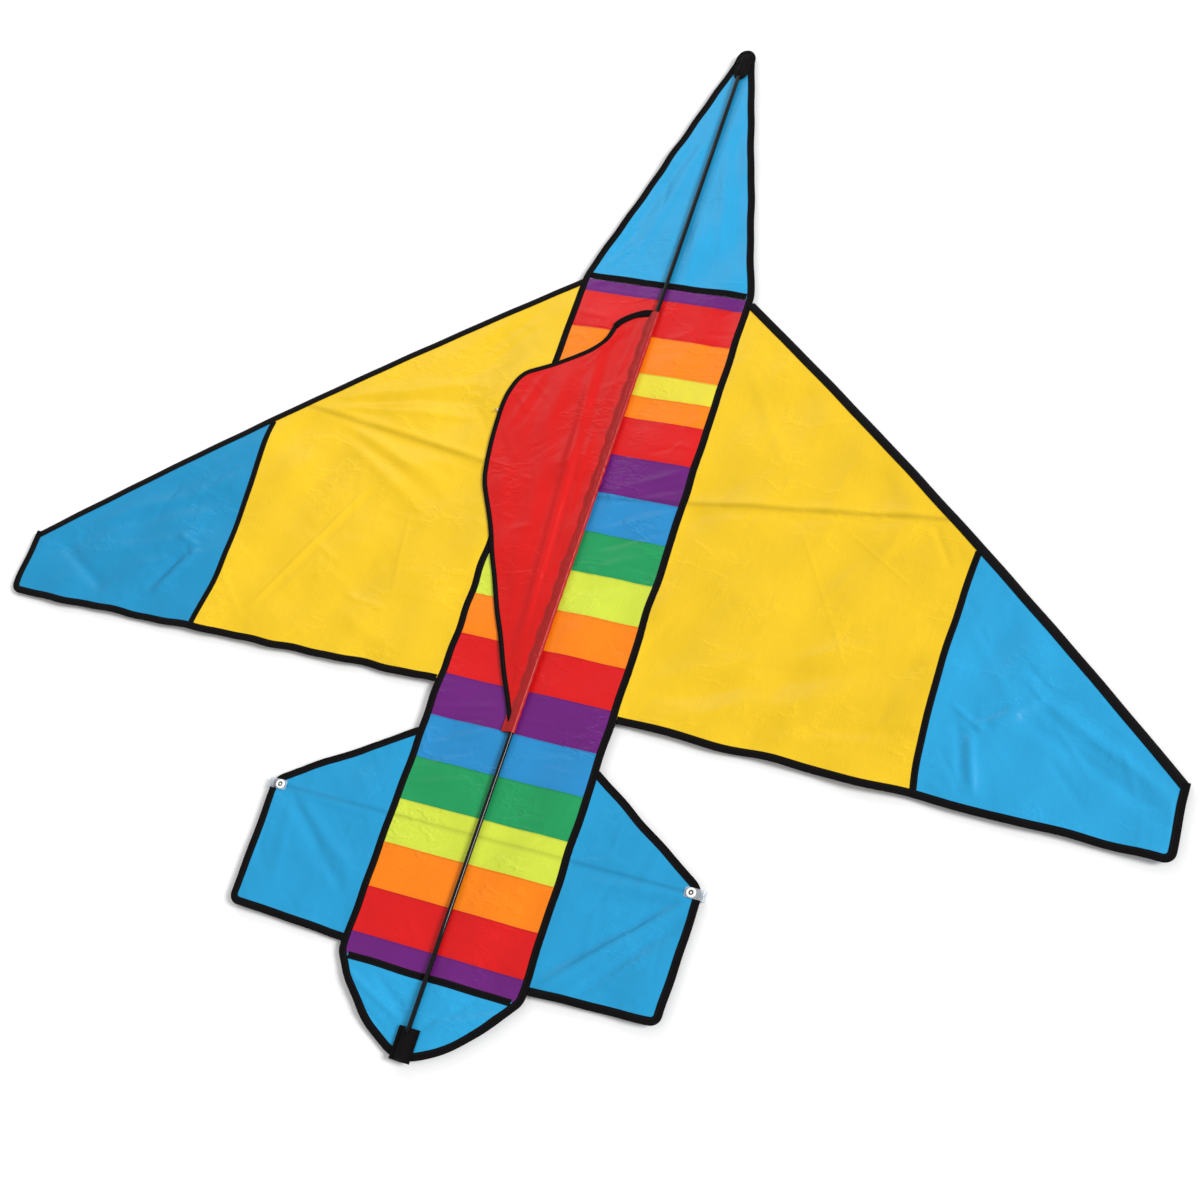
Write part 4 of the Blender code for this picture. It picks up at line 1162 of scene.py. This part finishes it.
# the tow ring through the keel's front corner
ringValues = {
    "radius": 0.0030,
    "wire": 0.0006,
    "slant": 0.0090,           # how far its axis leans from the kite's length
}
low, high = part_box("tow_ring")
centre = np.array(low + high) / 2
angle = np.arange(48)[:, None] * 2 * np.pi / 48
small = np.arange(12)[None, :] * 2 * np.pi / 12
axis = np.array([-ringValues["slant"], 1.0, 0.0])
spoke = np.array([1.0, ringValues["slant"], 0.0])
wide = ringValues["radius"] + ringValues["wire"] * np.cos(small)
deep = ringValues["wire"] * np.sin(small) + 0 * angle
points = (centre + (wide * np.cos(angle))[..., None] * spoke
          + (wide * np.sin(angle))[..., None] * np.array([0, 0, 1.0]) + deep[..., None] * axis)
quads = gridQuads(48, 12, True, True)
piece = weld(makePiece("tow_ring_wire", points.reshape(-1, 3), quads))
finishPiece(piece, steel, "tow_ring")
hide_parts("tow_ring")

# the fins' clear tabs and their snaps, whose sections are (radius, height) in millimetres
tab = {
    "reach": 0.2740,
    "edge": 0.2988,
    "width": 0.0130,
    "low": 0.0024,
    "high": 0.0109,
    "thick": 0.0006,
}
snap = {
    "x": 0.2825,
    "ring": [(3.1, 0.2), (3.1, 1.5), (3.5, 1.95), (4.2, 2.1), (5.2, 2.05), (5.9, 1.6), (6.25, 0.9),
             (6.3, 0.3), (6.1, 0.0), (3.3, 0.0), (3.1, 0.2)],
    "hollow": [(0.0, 0.5), (1.6, 0.5), (2.4, 0.42), (3.2, 0.6), (3.2, 0.0), (0.0, 0.0)],
    "stud": [(0.0, 1.75), (0.6, 1.7), (1.1, 1.4), (1.35, 0.9), (1.4, 0.3), (1.4, 0.0), (0.0, 0.0)],
}
for sideName, side in (("left", -1), ("right", 1)):
    body = left if side < 0 else right
    flap = f"{sideName}_fin_tab_flap"
    # the tab's path: out along the underside, round half a turn, and back in on top
    middle = (tab["low"] + tab["high"]) / 2
    bend = (tab["high"] - tab["low"]) / 2
    turnOut = np.linspace(-np.pi / 2, np.pi / 2, 20)
    straight = np.linspace(tab["reach"], tab["edge"] - 0.0016, 16)
    curveX = np.concatenate([straight[:-1], tab["edge"] - 0.0016 + 0.0028 * np.cos(turnOut),
                             np.linspace(tab["edge"] - 0.0016, tab["reach"], 16)[1:]])
    curveZ = np.concatenate([np.full(15, tab["low"]), middle + bend * np.sin(turnOut),
                             np.full(15, tab["high"])])
    u = np.linspace(-0.5, 0.5, 15)[None, :]
    cut = np.clip((curveX - tab["reach"]) / 0.003, 0, 1)[:, None]  # rounded inner corners
    along = u * tab["width"] * (0.70 + 0.30 * np.sqrt(cut * (2 - cut)))
    sag = 0.00025 * np.sin(curveX[:, None] * 900 + u * 5)
    points = place(side * curveX[:, None] + 0 * u, plan["tailRod"] + along, curveZ[:, None] + sag)
    quads = gridQuads(*points.shape[:2])
    piece = makePiece(f"{sideName}_clear_tab", points.reshape(-1, 3),
                      quads[:, ::-1] if side > 0 else quads, sharpEdge=True)
    thicken(piece, tab["thick"])
    spot = (side * tab["edge"], noseY - plan["tailRod"])
    finishPiece(piece, clearVinyl, body, (flap, (*spot, 0.0052), (*spot, 0.0100)))
    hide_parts(f"{sideName}_fin_tab")
    centre = np.array([side * snap["x"], noseY - plan["tailRod"], tab["high"] + 0.0004])
    # the hollow between ring and stud is painted near black, painted shade in the recess
    for part, count, finish in (("ring", 56, whitePlastic), ("hollow", 40, paintedShadeSnapHollow),
                                ("stud", 32, whitePlastic)):
        piece = turned(f"{sideName}_snap_{part}", np.array(snap[part]) / 1000, (0, 0, 1), centre,
                       count)
        finishPiece(piece, finish, flap)
        if part == "ring":
            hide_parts(f"{sideName}_fin_snap")

print("stage")

stage = {
    "floor": (0.93, 0.93, 0.93),
    "world": 0.58,
    "key": 2.55,               # a soft sun from the right
    "keyTurn": (0.72, 0.15, 0.62),
    "keySoftness": 20.0,       # degrees
    "fill": 14.0,
    "reach": 40.0,             # half the floor's side
    "lens": 52.19,             # millimetres, on a sensor 36 wide
    "forward": (-0.33796, 0.31759, -0.88596),
    "across": (0.92141, 0.30349, -0.24269),
    "from": (0.8123, -1.5832, 1.9877),   # the camera, from the nose's tip in the sail's plane
}


def intoScene(name, data):
    made = bpy.data.objects.new(name, data)
    bpy.context.scene.collection.objects.link(made)
    return made


floorMesh = bpy.data.meshes.new("floor")
reach = stage["reach"]
corners = [(-reach, -reach, 0), (reach, -reach, 0), (reach, reach, 0), (-reach, reach, 0)]
floorMesh.from_pydata(corners, [], [(0, 1, 2, 3)])
floorMesh.materials.append(newMaterial("paleFloor")[-1]({
    "Base Color": (*stage["floor"], 1), "Roughness": 0.9, "Specular IOR Level": 0.1,
}))
intoScene("floor", floorMesh)

world = bpy.data.worlds.new("studio")
bpy.context.scene.world = world
world.use_nodes = True
sky = world.node_tree.nodes["Background"]
sky.inputs[0].default_value = (1, 1, 1, 1)
sky.inputs[1].default_value = stage["world"]

sun = bpy.data.lights.new("key", "SUN")
sun.energy = stage["key"]
sun.angle = math.radians(stage["keySoftness"])
intoScene("key", sun).rotation_euler = Vector(stage["keyTurn"]).to_track_quat("Z", "Y").to_euler()
fill = bpy.data.lights.new("fill", "AREA")
fill.shape = "RECTANGLE"
fill.size, fill.size_y = 1.8, 0.6
fill.energy = stage["fill"]
lamp = intoScene("fill", fill)
lamp.location = (-1.4, 1.9, 1.9)
lamp.rotation_euler = (-lamp.location).to_track_quat("-Z", "Y").to_euler()

camera = bpy.data.cameras.new("camera")
camera.sensor_width = 36.0
camera.lens = stage["lens"]
view = intoScene("camera", camera)
forward, across = Vector(stage["forward"]).normalized(), Vector(stage["across"]).normalized()
turn = view.rotation_euler.to_matrix()
turn.col[0], turn.col[1], turn.col[2] = across, across.cross(forward), -forward
view.rotation_euler = turn.to_euler()
view.location = Vector(stage["from"]) + Vector((0, noseY, sailZ))
bpy.context.scene.camera = view
bpy.context.scene.view_settings.view_transform = "Standard"
